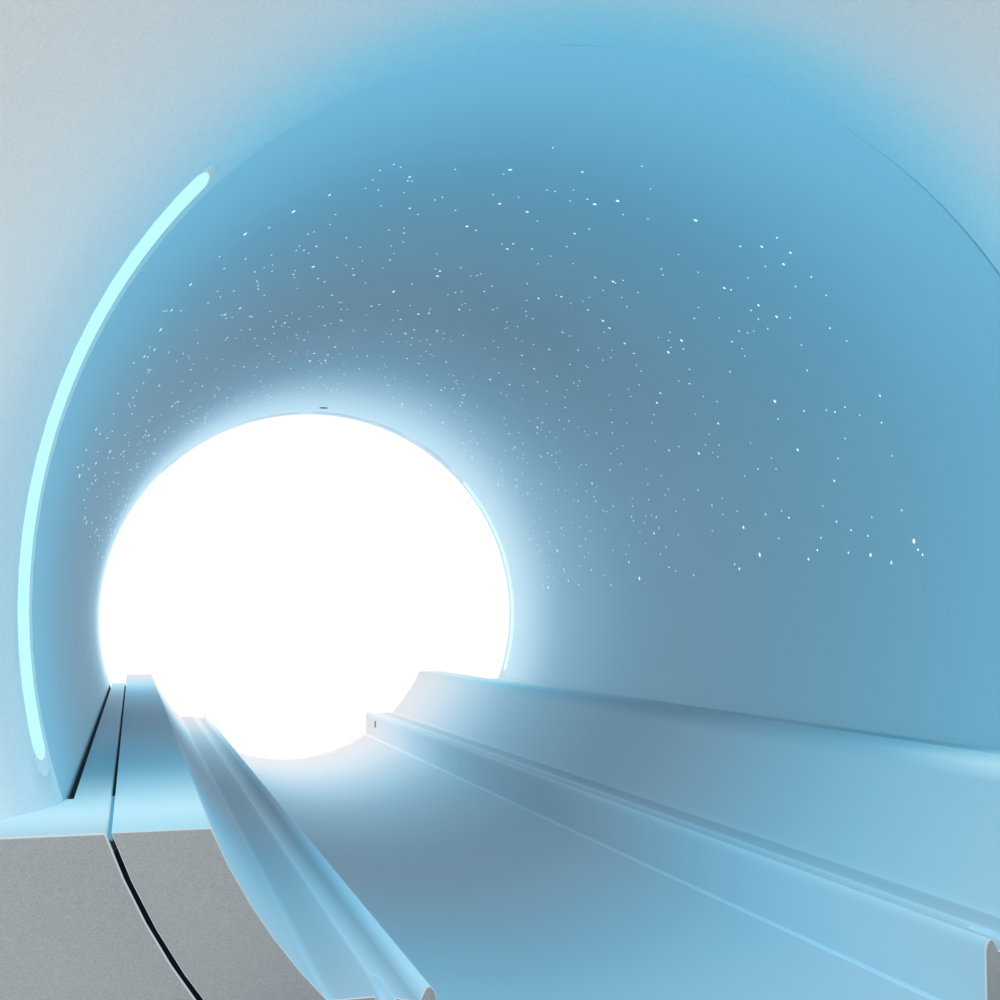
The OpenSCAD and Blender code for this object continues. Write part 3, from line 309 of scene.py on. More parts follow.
# Cloudy change over a surface: handling, dust and uneven gloss, with fine flecks
cloudLook = {"clouds": 3.0, "cloudDetail": 2.0, "flecks": 900.0}
softClouds, cloudIn, cloudOut = makeGroup(
    "softClouds",
    [("Place", "NodeSocketVector", None), ("Clouds per metre", "NodeSocketFloat", cloudLook["clouds"])],
    [("Cloud", "NodeSocketFloat"), ("Fleck", "NodeSocketFloat")],
)
perMetre = cloudIn["Clouds per metre"]
cloudNoise = noiseNode(softClouds, cloudIn["Place"], perMetre, cloudLook["cloudDetail"], (-600, 150))
fleckNoise = noiseNode(softClouds, cloudIn["Place"], cloudLook["flecks"], 0.0, (-600, -150))
wire(softClouds, cloudNoise, cloudOut["Cloud"])
wire(softClouds, fleckNoise, cloudOut["Fleck"])

# Thin scratches and worn spots for painted and bare metal
rubLook = {
    "marks": 30.0,
    "stretch": (1.0, 0.06, 1.0),
    "turn": (0.0, 0.0, 0.2),
    "detail": 6.0,
    "markSpan": (0.52, 0.72),
}
rubMarks, rubIn, rubOut = makeGroup(
    "rubMarks",
    [("Place", "NodeSocketVector", None), ("Marks per metre", "NodeSocketFloat", rubLook["marks"])],
    [("Mark", "NodeSocketFloat")],
)
rubStretch = addNode(rubMarks, "ShaderNodeMapping", (-650, 0))
rubStretch.inputs["Scale"].default_value = rubLook["stretch"]
rubStretch.inputs["Rotation"].default_value = rubLook["turn"]
wire(rubMarks, rubIn["Place"], rubStretch.inputs["Vector"])
stretched, perMetre = rubStretch.outputs["Vector"], rubIn["Marks per metre"]
rubNoise = noiseNode(rubMarks, stretched, perMetre, rubLook["detail"], (-400, 0))
wire(rubMarks, stepMask(rubMarks, rubNoise, *rubLook["markSpan"], (-100, 0)), rubOut["Mark"])

# What plastics and metals have unless their own entry says otherwise
plasticLook = {
    "specular": 0.4,
    "shade": 0.92,
    "dust": 0.06,
    "dustTone": (120, 118, 112),
    "glossChange": (0.06, 0.08),
    "cloudSpan": (0.3, 0.7),
    "relief": 0.3,
    "depth": 0.0006,
    "coatRoughness": 0.12,
}
metalLook = {"marks": 30.0, "wear": 0.25, "glossChange": (0.05, 0.15), "relief": 0.08, "depth": 0.0003}


def grainedPlastic(name, ownLook):
    # Moulded or painted plastic with a fine grain and a cloudy change in gloss
    look = {**plasticLook, **ownLook}
    tone = screenTone(*look["tone"])
    material, tree, shader = newFinish(name, look)
    place = objectPlace(tree)
    grain = placeGroup(tree, mouldedGrain, (-1100, -200), place, {"Pebbles per metre": look["grain"]})
    cloud = placeGroup(tree, softClouds, (-1100, 200), place)["Cloud"]
    mottled = mixTone(tree, grain["Shade"], dimmed(tone, look["shade"]), tone, (-700, 100))
    dustShare = mathNode(tree, "MULTIPLY", cloud, look["dust"], (-800, 300))
    dusty = mixTone(tree, dustShare, mottled, screenTone(*look["dustTone"]), (-450, 150))
    wire(tree, dusty, shader.inputs["Base Color"])
    varyGloss(tree, shader, cloud, look["roughness"], look["glossChange"], look["cloudSpan"])
    addRelief(tree, shader, grain["Height"], look["relief"], look["depth"])
    if "coat" in look:
        shader.inputs["Coat Weight"].default_value = look["coat"]
        shader.inputs["Coat Roughness"].default_value = look["coatRoughness"]
    return material


def metalFinish(name, ownLook):
    # Painted, brushed or anodised metal with rub marks along the length
    look = {**metalLook, **ownLook}
    tone = screenTone(*look["tone"])
    material, tree, shader = newFinish(name, look)
    place = objectPlace(tree)
    mark = placeGroup(tree, rubMarks, (-1100, 100), place, {"Marks per metre": look["marks"]})["Mark"]
    clouds = placeGroup(tree, softClouds, (-1100, -200), place)
    wearShare = mathNode(tree, "MULTIPLY", mark, look["wear"], (-800, 200))
    worn = mixTone(tree, wearShare, tone, screenTone(*look["wornTone"]), (-500, 150))
    wire(tree, worn, shader.inputs["Base Color"])
    varyGloss(tree, shader, clouds["Cloud"], look["roughness"], look["glossChange"])
    addRelief(tree, shader, clouds["Fleck"], look["relief"], look["depth"])
    return material


# Helpers for meshes
copyLook = {"weld": 0.00002, "flatten": 0.3, "corner": 40.0}  # metres, then degrees


def deselectAll():
    if bpy.context.object and bpy.context.object.mode != "OBJECT":
        bpy.ops.object.mode_set(mode="OBJECT")
    bpy.ops.object.select_all(action="DESELECT")


def activate(piece):
    deselectAll()
    piece.select_set(True)
    bpy.context.view_layer.objects.active = piece


def applyModifiers(piece):
    activate(piece)
    for modifier in list(piece.modifiers):
        bpy.ops.object.modifier_apply(modifier=modifier.name)


def weldedCopy(node, name):
    # A copy of a solid's mesh with its loose triangles joined, left in edit mode with all selected
    piece = bpy.data.objects.new(name, cadNodes[node].data.copy())
    scene.collection.objects.link(piece)
    activate(piece)
    bpy.ops.object.mode_set(mode="EDIT")
    bpy.ops.mesh.select_all(action="SELECT")
    bpy.ops.mesh.remove_doubles(threshold=copyLook["weld"])
    return piece


def dressedCopy(node, name, softEdge, finish, segments=2, smoothAngle=35):
    # The solid's own form with its edges softened, shown in place of the plain node
    piece = weldedCopy(node, name)
    flatten = math.radians(copyLook["flatten"])
    bpy.ops.mesh.dissolve_limited(angle_limit=flatten, use_dissolve_boundaries=False)
    bpy.ops.object.mode_set(mode="OBJECT")
    bevel = piece.modifiers.new("softEdge", "BEVEL")
    bevel.width = softEdge
    bevel.segments = segments
    bevel.limit_method = "ANGLE"
    bevel.angle_limit = math.radians(copyLook["corner"])
    bevel.use_clamp_overlap = True
    applyModifiers(piece)
    bpy.ops.object.shade_smooth_by_angle(angle=math.radians(smoothAngle))
    piece.data.materials.clear()
    piece.data.materials.append(finish)
    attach(piece, cadNodes[node]["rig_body"])
    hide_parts(node)
    return piece


def paintNode(node, finish):
    data = cadNodes[node].data
    if len(data.materials) == 0:
        data.materials.append(finish)
    for index in range(len(data.materials)):
        data.materials[index] = finish


# Bore liner: painted blue mood light, painted brightening towards the open rear end, and painted light that
# differs between crown and flanks
linerLook = {
    "tone": (110, 150, 175),
    "crown": [
        (-0.72, (121, 186, 209)), (-0.50, (105, 160, 183)), (-0.22, (107, 145, 163)), (0.08, (111, 142, 160)),
        (0.38, (130, 166, 183)), (0.7175, (194, 218, 227)),
    ],
    "flank": [
        (-0.72, (112, 170, 193)), (-0.50, (111, 159, 179)), (-0.14, (116, 153, 170)), (0.23, (122, 159, 175)),
        (0.50, (148, 180, 195)), (0.7175, (199, 219, 226)),
    ],
    "crownSpan": (0.12, 0.28),  # heights over the axis between which flank turns to crown
    "slot": (26, 40, 50),
    "slotSpan": (-0.001, -0.004),  # heights from the shelves between which the open slot turns dark
    "roughness": 0.6,
    "specular": 0.08,
    "glossChange": (0.06, 0.06),
    "glow": 0.55,
    "clouds": 5.0,
    "softEdge": 0.0006,
}
# Parting line at the front end, painted dark as the shade in the gap, on the right side only: degrees of climb,
# inset and distance aside
partingLook = {"climb": (74.0, 45.0), "inset": (0.0008, 0.0004), "aside": (0.0, 0.6)}
linerPaintedLight, tree, shader = newFinish("linerPaintedMoodLight", linerLook)
place = objectPlace(tree)
axes = splitAxes(tree, place)
# Painted light: tones along the bore for the mood light, darker in the middle and pale at the open rear end
crownTone = rampAlong(tree, axes["Y"], linerLook["crown"], (-900, 300))
flankTone = rampAlong(tree, axes["Y"], linerLook["flank"], (-900, 0))
crownShare = levelMask(tree, axes, bore["axis"], linerLook["crownSpan"], (-1100, -250))
linerTone = mixTone(tree, crownShare, flankTone, crownTone, (-550, 150))
# Painted shade: the liner turns dark below the shelves, in the open slot
inSlot = levelMask(tree, axes, bore["shelf"], linerLook["slotSpan"], (-700, -100))
linerTone = mixTone(tree, inSlot, linerTone, screenTone(*linerLook["slot"]), (-350, 150))
rise = mathNode(tree, "SUBTRACT", axes["Z"], bore["axis"], (-1100, 700))
climb = mathNode(tree, "ARCTAN2", rise, axes["X"], (-900, 700))
onClimb = stepMask(tree, climb, *[math.radians(angle) for angle in partingLook["climb"]], (-700, 700))
atEnd = stepMask(tree, axes["Y"], *[inset - bore["half"] for inset in partingLook["inset"]], (-700, 900))
onRight = stepMask(tree, axes["X"], *partingLook["aside"], (-700, 1100))
parting = mathNode(tree, "MULTIPLY", onClimb, atEnd, (-450, 700))
parting = mathNode(tree, "MULTIPLY", parting, onRight, (-350, 800))
# Painted shade along the parting gap, on the right side only
linerTone = mixTone(tree, parting, linerTone, screenTone(*linerLook["slot"]), (-250, 150))
# The painted tone also glows as painted mood light
glowingTone(tree, shader, linerTone, linerLook["glow"])
fleck = placeGroup(tree, softClouds, (-900, -300), place, {"Clouds per metre": linerLook["clouds"]})["Fleck"]
varyGloss(tree, shader, fleck, linerLook["roughness"], linerLook["glossChange"])
linerTube = dressedCopy("bore_liner", "liner_tube", linerLook["softEdge"], linerPaintedLight, smoothAngle=40)

# True round shading inside the tube, whatever the faces' lengths
tubeFit = {"facing": 0.99, "offRadius": 0.002}
liner = linerTube.data
roundNormals = [corner.vector.copy() for corner in liner.corner_normals]
for face in liner.polygons:
    spoke = Vector((face.center.x, 0.0, face.center.z - bore["axis"]))
    facesIn = face.normal.dot(-spoke.normalized()) >= tubeFit["facing"]
    if not facesIn or abs(spoke.length - bore["radius"]) > tubeFit["offRadius"]:
        continue
    for corner in face.loop_indices:
        spot = liner.vertices[liner.loops[corner].vertex_index].co
        roundNormals[corner] = Vector((-spot.x, 0.0, bore["axis"] - spot.z)).normalized()
liner.normals_split_custom_set(roundNormals)
print("liner done")


# Funnels: pale grained covers with painted blue mood light towards the throat, crown and sides painted apart, a
# painted brighter throat on the rear funnel and a painted glow
funnelLook = {
    "tone": (190, 205, 210),
    "crown": [
        (-0.90, (215, 222, 223)), (-0.83, (209, 217, 221)), (-0.79, (199, 221, 230)), (-0.77, (186, 223, 237)),
        (-0.75, (153, 219, 241)), (-0.7175, (136, 216, 242)),
    ],
    "side": [
        (-0.90, (216, 225, 225)), (-0.83, (226, 233, 233)), (-0.79, (216, 233, 239)), (-0.77, (201, 226, 237)),
        (-0.75, (190, 225, 238)), (-0.7175, (166, 218, 231)),
    ],
    "rear": [(0.7175, (225, 240, 250)), (0.80, (222, 234, 240)), (0.92, (205, 215, 220))],
    "crownSpan": (0.12, 0.33),
    "grainShade": (0.9, 0.92, 0.93, 1.0),
    "roughness": 0.5,
    "specular": 0.35,
    "grain": 800.0,
    "relief": (0.35, 0.0007),
    "glow": 0.3,
    "softEdge": 0.0008,
}


def funnelGrainAndPaintedLight(name, crownStops, sideStops):
    look = funnelLook
    material, tree, shader = newFinish(name, look)
    place = objectPlace(tree)
    axes = splitAxes(tree, place)
    # Painted light along the bore, with crown and sides apart
    crownTone = rampAlong(tree, axes["Y"], crownStops, (-900, 400))
    sideTone = rampAlong(tree, axes["Y"], sideStops, (-900, 200))
    crownShare = levelMask(tree, axes, bore["axis"], look["crownSpan"], (-1100, 600))
    tone = mixTone(tree, crownShare, sideTone, crownTone, (-650, 300))
    grain = placeGroup(tree, mouldedGrain, (-1100, -200), place, {"Pebbles per metre": look["grain"]})
    darker = mixTone(tree, 1.0, tone, look["grainShade"], (-600, 0), "MULTIPLY")
    grained = mixTone(tree, grain["Shade"], darker, tone, (-400, 150))
    glowingTone(tree, shader, grained, look["glow"])
    addRelief(tree, shader, grain["Height"], *look["relief"])
    return material


for node, finish in (
    ("front_funnel", funnelGrainAndPaintedLight("frontFunnelGrainPaintedLight", funnelLook["crown"], funnelLook["side"])),
    ("rear_funnel", funnelGrainAndPaintedLight("rearFunnelGrainPaintedLight", funnelLook["rear"], funnelLook["rear"])),
):
    dressedCopy(node, node + "_skin", funnelLook["softEdge"], finish, smoothAngle=32)
print("funnels done")


# Light strips: even cyan glow behind a satin diffuser
stripLook = {
    "tone": (193, 254, 252),
    "edge": (120, 225, 232),
    "unlit": (60, 96, 104),
    "housing": (190, 222, 235),
    "housingGlow": 0.3,
    "cloud": 0.12,
    "clouds": 18.0,
    "roughness": 0.35,
    "relief": (0.04, 0.0002),
    "softEdge": 0.0008,
}
# The front strips are unlit just before their round ends: degrees over the axis, then metres
frontLit = {
    "low": -13.6,
    "high": 40.2,
    "middle": -0.7385,
    "radius": 0.0065,
    "soft": 0.0003,
    "reach": 0.302,  # distance from the bore's axis
    "nearNothing": 0.00001,
}


def litMask(tree, place, lit):
    # 1 on the lit length of a strip, which ends in half circles, 0 past it
    axes = splitAxes(tree, place, (-1300, 300))
    rise = mathNode(tree, "SUBTRACT", axes["Z"], bore["axis"], (-1100, 350))
    aside = mathNode(tree, "ABSOLUTE", axes["X"], None, (-1100, 500))
    climb = mathNode(tree, "ARCTAN2", rise, aside, (-900, 400))
    over = mathNode(tree, "SUBTRACT", climb, math.radians(lit["high"]), (-700, 400))
    under = mathNode(tree, "SUBTRACT", math.radians(lit["low"]), climb, (-700, 600))
    past = mathNode(tree, "MAXIMUM", mathNode(tree, "MAXIMUM", over, under, (-500, 500)), 0.0, (-400, 500))
    past = mathNode(tree, "MULTIPLY", past, lit["reach"], (-300, 500))
    across = mathNode(tree, "SUBTRACT", axes["Y"], lit["middle"], (-500, 700))
    pastSquare = mathNode(tree, "MULTIPLY", past, past, (-200, 500))
    acrossSquare = mathNode(tree, "MULTIPLY", across, across, (-200, 700))
    away = mathNode(tree, "SQRT", mathNode(tree, "ADD", pastSquare, acrossSquare, (-100, 600)), None, (0, 600))
    inEnd = stepMask(tree, away, lit["radius"] + lit["soft"], lit["radius"] - lit["soft"], (100, 600))
    inLength = mathNode(tree, "LESS_THAN", past, lit["nearNothing"], (100, 800))
    return mathNode(tree, "MAXIMUM", inEnd, inLength, (300, 600))


def stripFinish(name, lit=None):
    look = stripLook
    unlit, housing = screenTone(*look["unlit"]), screenTone(*look["housing"])
    material, tree, shader = newFinish(name, {"tone": look["unlit"], "roughness": look["roughness"]})
    material.cycles.emission_sampling = "AUTO"
    place = objectPlace(tree)
    clouds = placeGroup(tree, softClouds, (-900, 0), place, {"Clouds per metre": look["clouds"]})
    cloudShare = mathNode(tree, "MULTIPLY", clouds["Cloud"], look["cloud"], (-700, 100))
    tone = mixTone(tree, cloudShare, screenTone(*look["tone"]), screenTone(*look["edge"]), (-450, 100))
    if lit:
        mask = litMask(tree, place, lit)
        tone = mixTone(tree, mask, dimmed(housing, look["housingGlow"]), tone, (-250, 100))
        wire(tree, mixTone(tree, mask, housing, unlit, (-250, 300)), shader.inputs["Base Color"])
    wire(tree, tone, shader.inputs["Emission Color"])
    shader.inputs["Emission Strength"].default_value = 1.0
    addRelief(tree, shader, clouds["Fleck"], *look["relief"])
    return material


for end, finish in (
    ("front", stripFinish("frontStripDiffuser", frontLit)),
    ("rear", stripFinish("rearStripDiffuser")),
):
    for side in ("left", "right"):
        node = end + "_light_" + side
        dressedCopy(node, node + "_lens", stripLook["softEdge"], finish, smoothAngle=40)
print("light strips done")


# Bridge and cradle: smooth mouldings with painted mood light, painted highlights and painted shade, textured
# grey where they face the patient
mouldingLook = {
    "tone": (120, 160, 185),
    "rim": (198, 208, 214),
    "rimSpan": (0.0018, 0.0008),  # depths behind the front face where the pale rim begins
    "shelfSpan": (-0.0105, -0.0015),  # heights from the shelves between which trough turns to shelf
    "roughness": 0.6,
    "specular": 0.08,
    "glossChange": (0.06, 0.06),
    "glow": 0.4,
    "softEdge": 0.0012,
    "faceTurn": 0.9,
    "faceDepth": 0.0003,
}
# Slots under the shelves: painted shade right under them behind the seals' end, and deep down in front of it
slotLook = {
    "tone": (22, 34, 42),
    "topSpan": (-0.0005, -0.0025),
    "deepSpan": (-0.0065, -0.0085),
    "sealEnd": -0.70,
    "sealFade": 0.004,
}
# Rails: painted highlights and painted shade over the distance aside, a painted highlight line along the foot
# and a dark upright slit of painted shade on the right
railLook = {
    "lines": [
        (0.130, 1.0), (0.1318, 1.0), (0.1335, 1.14), (0.1365, 1.16), (0.1385, 0.9), (0.1405, 0.8), (0.147, 0.94),
        (0.1515, 1.06), (0.1538, 1.12), (0.1552, 0.95), (0.160, 0.88), (0.173, 0.88), (0.1758, 1.06),
        (0.1775, 1.04), (0.180, 1.0),
    ],
    "raisedSpan": (-0.1745, -0.1725),  # heights from the axis where the shades begin
    "foot": {"middle": (0.13175, 0.0, -0.20505), "half": (0.00055, 9.0, 0.00125), "soft": 0.4, "shade": 1.2},
    "slit": {"middle": (0.132, 0.991, -0.181), "half": (0.0007, 0.007, 0.005), "soft": 0.2, "shade": 0.2},
}
# Trough and shelf tones along the bore are painted mood light: darker in the middle, pale towards the open ends,
# the shelf tops painted apart from the trough
bridgeLook = {
    "trough": [
        (-0.8422, (159, 198, 215)), (-0.55, (136, 182, 201)), (-0.25, (133, 163, 178)), (0.05, (126, 158, 174)),
        (0.45, (150, 187, 202)), (0.75, (199, 215, 224)), (1.0895, (223, 222, 224)),
    ],
    "shelf": [
        (-0.8422, (173, 215, 228)), (-0.75, (190, 226, 236)), (-0.58, (129, 182, 200)), (-0.30, (120, 151, 167)),
        (0.05, (111, 148, 166)), (0.40, (130, 181, 200)), (0.65, (175, 213, 227)), (1.0895, (218, 215, 216)),
    ],
    "slots": [(0.2765, 0.2775)],
    "rails": railLook,
}
cradleLook = {
    "trough": [
        (-0.8422, (172, 206, 217)), (-0.76, (192, 227, 236)), (-0.60, (109, 163, 180)), (-0.30, (112, 146, 164)),
        (0.05, (116, 148, 164)), (0.40, (147, 182, 195)), (0.7175, (190, 228, 229)),
    ],
    "slots": [(0.2825, 0.2815), (0.2945, 0.2955)],
}
faceLook = {
    "tone": (197, 205, 208), "roughness": 0.75, "grain": 1500.0, "shade": 0.8, "dust": 0.02, "relief": 0.5,
}
slotShadeTone = screenTone(*slotLook["tone"])


def halfGrey(shade):
    # A ramp holds no more than 1, so shades are halved and doubled again at the end
    return (shade / 2, shade / 2, shade / 2, 1.0)


def railShade(tree, place, axes, rails):
    aside = mathNode(tree, "ABSOLUTE", axes["X"], None, (-1100, 900))
    shade = rampAlong(tree, aside, [(at, halfGrey(value)) for at, value in rails["lines"]], (-900, 900))
    raised = levelMask(tree, axes, bore["axis"], rails["raisedSpan"], (-900, 1200))
    shade = mixTone(tree, raised, halfGrey(1.0), shade, (-600, 900))
    mirrored = vectorNode(tree, "ABSOLUTE", place, (-1100, 1500)).outputs["Vector"]
    for mark, point, top in ((rails["foot"], mirrored, 1500), (rails["slit"], place, 2300)):
        x, y, z = mark["middle"]
        inMark = boxMask(tree, point, (x, y, bore["axis"] + z), mark["half"], mark["soft"], (-900, top))
        shade = mixTone(tree, inMark, shade, halfGrey(mark["shade"]), (-450, top - 600))
    return shade


def underShelf(tree, axes):
    # 1 where an open slot under a shelf gets painted shade
    sealEnd, fade = slotLook["sealEnd"], slotLook["sealFade"]
    behind = stepMask(tree, axes["Y"], sealEnd - fade, sealEnd + fade, (-900, 1200))
    deep = levelMask(tree, axes, bore["shelf"], slotLook["deepSpan"], (-900, 1000))
    noSeal = mathNode(tree, "MAXIMUM", behind, deep, (-700, 1100))
    below = levelMask(tree, axes, bore["shelf"], slotLook["topSpan"], (-700, 1400))
    return mathNode(tree, "MULTIPLY", below, noSeal, (-550, 1200))


def mouldingPaintedLight(name, ownLook):
    look = {**mouldingLook, **ownLook}
    material, tree, shader = newFinish(name, look)
    place = objectPlace(tree)
    axes = splitAxes(tree, place)
    # Painted mood light along the bore
    tone = rampAlong(tree, axes["Y"], look["trough"], (-900, 300))
    if "shelf" in look:
        shelfTone = rampAlong(tree, axes["Y"], look["shelf"], (-900, 600))
        onShelf = levelMask(tree, axes, bore["shelf"], look["shelfSpan"], (-1100, 600))
        tone = mixTone(tree, onShelf, tone, shelfTone, (-650, 500))
    if "rails" in look:
        # Painted highlights and painted shade on the rails
        shade = railShade(tree, place, axes, look["rails"])
        halfTone = mixTone(tree, 1.0, tone, shade, (-300, 800), "MULTIPLY")
        tone = mixTone(tree, 1.0, halfTone, (2.0, 2.0, 2.0, 1.0), (-150, 800), "MULTIPLY")
    away = axisDistance(tree, place)
    under = underShelf(tree, axes)
    # Painted shade in the open slots
    for start, end in look["slots"]:
        aside = stepMask(tree, away, start, end, (-700, 1600))
        inSlot = mathNode(tree, "MULTIPLY", under, aside, (-400, 1300))
        tone = mixTone(tree, inSlot, tone, slotShadeTone, (-100, 600))
    # Pale rim just behind the front face: partly the grey face's own tone over the rounded edge, partly a
    # painted highlight
    rim = stepMask(tree, axes["Y"], *[bore["frontFace"] + depth for depth in look["rimSpan"]], (-1100, -100))
    tone = mixTone(tree, rim, tone, screenTone(*look["rim"]), (-550, 150))
    # The tone also glows as painted mood light
    glowingTone(tree, shader, tone, look["glow"])
    fleck = placeGroup(tree, softClouds, (-900, -300), place)["Fleck"]
    varyGloss(tree, shader, fleck, look["roughness"], look["glossChange"])
    return material


faceFinish = grainedPlastic("facePlastic", faceLook)
for node, name, finish in (
    ("bridge", "bridge_moulding", mouldingPaintedLight("bridgePaintedMoodLight", bridgeLook)),
    ("bridge_cradle", "cradle_moulding", mouldingPaintedLight("cradlePaintedMoodLight", cradleLook)),
):
    moulding = dressedCopy(node, name, mouldingLook["softEdge"], finish, segments=3, smoothAngle=24)
    moulding.data.materials.append(faceFinish)
    for face in moulding.data.polygons:
        facesOut = face.normal.y < -mouldingLook["faceTurn"]
        if facesOut and face.center.y < bore["frontFace"] + mouldingLook["faceDepth"]:
            face.material_index = 1

# Soft seals that close the gaps beside the shelves, with painted shade at their foot
sealLook = {
    "tone": (126, 186, 208),
    "light": (134, 200, 222),
    "deep": (118, 180, 204),
    "slotSpan": (-0.0025, -0.0035),
    "clouds": 40.0,
    "roughness": 0.6,
    "specular": 0.3,
    "relief": (0.1, 0.0002),
    "softEdge": 0.0004,
}
sealFinish, tree, shader = newFinish("softSeal", sealLook)
place = objectPlace(tree)
clouds = placeGroup(tree, softClouds, (-900, 0), place, {"Clouds per metre": sealLook["clouds"]})
sealTones = [screenTone(*sealLook[key]) for key in ("light", "deep")]
sealTone = mixTone(tree, clouds["Cloud"], *sealTones, (-500, 100))
# Painted shade at the seals' foot, in the slot
atFoot = levelMask(tree, splitAxes(tree, place), bore["shelf"], sealLook["slotSpan"], (-700, 300))
wire(tree, mixTone(tree, atFoot, sealTone, slotShadeTone, (-250, 100)), shader.inputs["Base Color"])
addRelief(tree, shader, clouds["Fleck"], *sealLook["relief"])
dressedCopy("gap_seals", "gap_seals_skin", sealLook["softEdge"], sealFinish)
print("bridge and cradle done")


# Stars: fibre ends in the liner's upper half, most of them small
starLook = {
    "count": 900,
    "smallest": 0.00065,
    "largest": 0.0017,
    "rarity": 5,  # the higher, the fewer large ones
    "from": -0.55,
    "to": 0.58,
    "low": 6.0,
    "high": 168.0,
    "growBelow": 16.0,  # degrees over the axis under which they grow
    "growth": 0.9,
    "proud": 0.0004,
    "taper": 0.75,
    "tone": (235, 246, 252),
    "roughness": 0.4,
    "bright": (255, 255, 255),
    "faint": (190, 225, 245),
    "clouds": 60.0,
}
starFinish, tree, shader = newFinish("starLight", starLook)
clouds = placeGroup(tree, softClouds, (-900, 0), objectPlace(tree), {"Clouds per metre": starLook["clouds"]})
starTones = [screenTone(*starLook[key]) for key in ("bright", "faint")]
starTone = mixTone(tree, clouds["Cloud"], *starTones, (-450, 100))
wire(tree, starTone, shader.inputs["Emission Color"])
shader.inputs["Emission Strength"].default_value = 1.0
deselectAll()
bpy.ops.mesh.primitive_circle_add(vertices=8, radius=1.0, fill_type="TRIFAN", location=(0, 0, 0))
starSeed = bpy.context.object
bpy.ops.object.mode_set(mode="EDIT")
bpy.ops.mesh.select_all(action="SELECT")
bpy.ops.mesh.extrude_region_move(TRANSFORM_OT_translate={"value": (0, 0, 1.0)})
bpy.ops.transform.resize(value=(starLook["taper"], starLook["taper"], 1.0), center_override=(0, 0, 0))
bpy.ops.object.mode_set(mode="OBJECT")
starCopies = []
for index in range(starLook["count"]):
    spread = starLook["largest"] - starLook["smallest"]
    size = starLook["smallest"] + spread * random.random() ** starLook["rarity"]
    angle = math.radians(random.uniform(starLook["low"], starLook["high"]))
    size *= 1.0 + starLook["growth"] * max(0.0, 1.0 - math.degrees(angle) / starLook["growBelow"])
    along = random.uniform(starLook["from"], starLook["to"])
    inward = Vector((-math.cos(angle), 0.0, -math.sin(angle)))
    seat = Vector((math.cos(angle) * bore["radius"], along, bore["axis"] + math.sin(angle) * bore["radius"]))
    turn = Vector((0, 0, 1)).rotation_difference(inward).to_matrix().to_4x4()
    data = starSeed.data.copy()
    data.transform(Matrix.Translation(seat) @ turn @ Matrix.Diagonal((size, size, starLook["proud"], 1.0)))
    copy = bpy.data.objects.new("star_copy", data)
    scene.collection.objects.link(copy)
    starCopies.append(copy)
deselectAll()
for copy in starCopies:
    copy.select_set(True)
bpy.context.view_layer.objects.active = starCopies[0]
bpy.ops.object.join()
stars = bpy.context.object
stars.name = "star_lights"
bpy.data.objects.remove(starSeed)
stars.data.materials.clear()
stars.data.materials.append(starFinish)
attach(stars, "scanner")
print("stars done")


# Finishes for the other nodes, by the record's material slot
plasticLooks = {
    "cover": {"tone": (222, 226, 228), "roughness": 0.48, "grain": 420.0, "shade": 0.95, "dust": 0.03},
    "table_cover": {"tone": (214, 219, 222), "roughness": 0.46, "grain": 480.0, "shade": 0.95, "dust": 0.05},
    "table_skirt": {"tone": (176, 184, 190), "roughness": 0.5, "grain": 480.0, "shade": 0.94, "dust": 0.06},
    "panel": {"tone": (74, 82, 90), "roughness": 0.42, "grain": 700.0, "shade": 0.9, "dust": 0.05},
    "button": {"tone": (212, 222, 228), "roughness": 0.35, "grain": 900.0, "shade": 0.97, "relief": 0.1},
    "stop": {
        "tone": (190, 34, 28), "roughness": 0.3, "grain": 900.0, "shade": 0.95, "relief": 0.08, "coat": 0.4,
    },
    "handle": {"tone": (62, 70, 78), "roughness": 0.5, "grain": 700.0, "shade": 0.9},
    "tabletop": {
        "tone": (224, 229, 232), "roughness": 0.3, "grain": 700.0, "shade": 0.97, "relief": 0.08, "coat": 0.25,
    },
    "glide": {"tone": (236, 236, 230), "roughness": 0.35, "grain": 900.0, "shade": 0.97, "relief": 0.08},
    "black_plastic": {"tone": (24, 25, 28), "roughness": 0.4, "grain": 900.0, "shade": 0.85},
    "rubber": {"tone": (38, 39, 42), "roughness": 0.72, "grain": 800.0, "shade": 0.8},
    "display": {
        "tone": (12, 15, 19), "roughness": 0.08, "grain": 900.0, "shade": 0.9, "relief": 0.01, "coat": 0.6,
    },
    "resin": {"tone": (190, 166, 112), "roughness": 0.55, "grain": 200.0, "shade": 0.8},
    "copper_laminate": {"tone": (176, 118, 72), "roughness": 0.45, "grain": 260.0, "shade": 0.8},
}
metalLooks = {
    "vessel": {
        "tone": (206, 209, 212), "roughness": 0.42, "metallic": 0.0, "wornTone": (150, 150, 150), "wear": 0.12,
    },
    "steel_dark": {"tone": (98, 102, 106), "roughness": 0.45, "metallic": 0.0, "wornTone": (150, 152, 155)},
    "steel": {
        "tone": (186, 188, 192), "roughness": 0.28, "metallic": 1.0, "wornTone": (140, 142, 146), "marks": 60.0,
    },
    "anodised": {
        "tone": (164, 168, 174), "roughness": 0.34, "metallic": 1.0, "wornTone": (196, 198, 202), "marks": 50.0,
    },
    "table_frame": {
        "tone": (190, 200, 206), "roughness": 0.36, "metallic": 0.0, "wornTone": (150, 156, 160), "wear": 0.15,
    },
    "black_metal": {"tone": (38, 41, 45), "roughness": 0.42, "metallic": 0.0, "wornTone": (90, 92, 96)},
}
finishes = {slot: grainedPlastic(slot + "Plastic", look) for slot, look in plasticLooks.items()}
finishes.update({slot: metalFinish(slot + "Metal", look) for slot, look in metalLooks.items()})
slotOfNode = {entry["node"]: entry["material_slot"] for entry in frame["record"]["subparts"]}
print("finishes done")

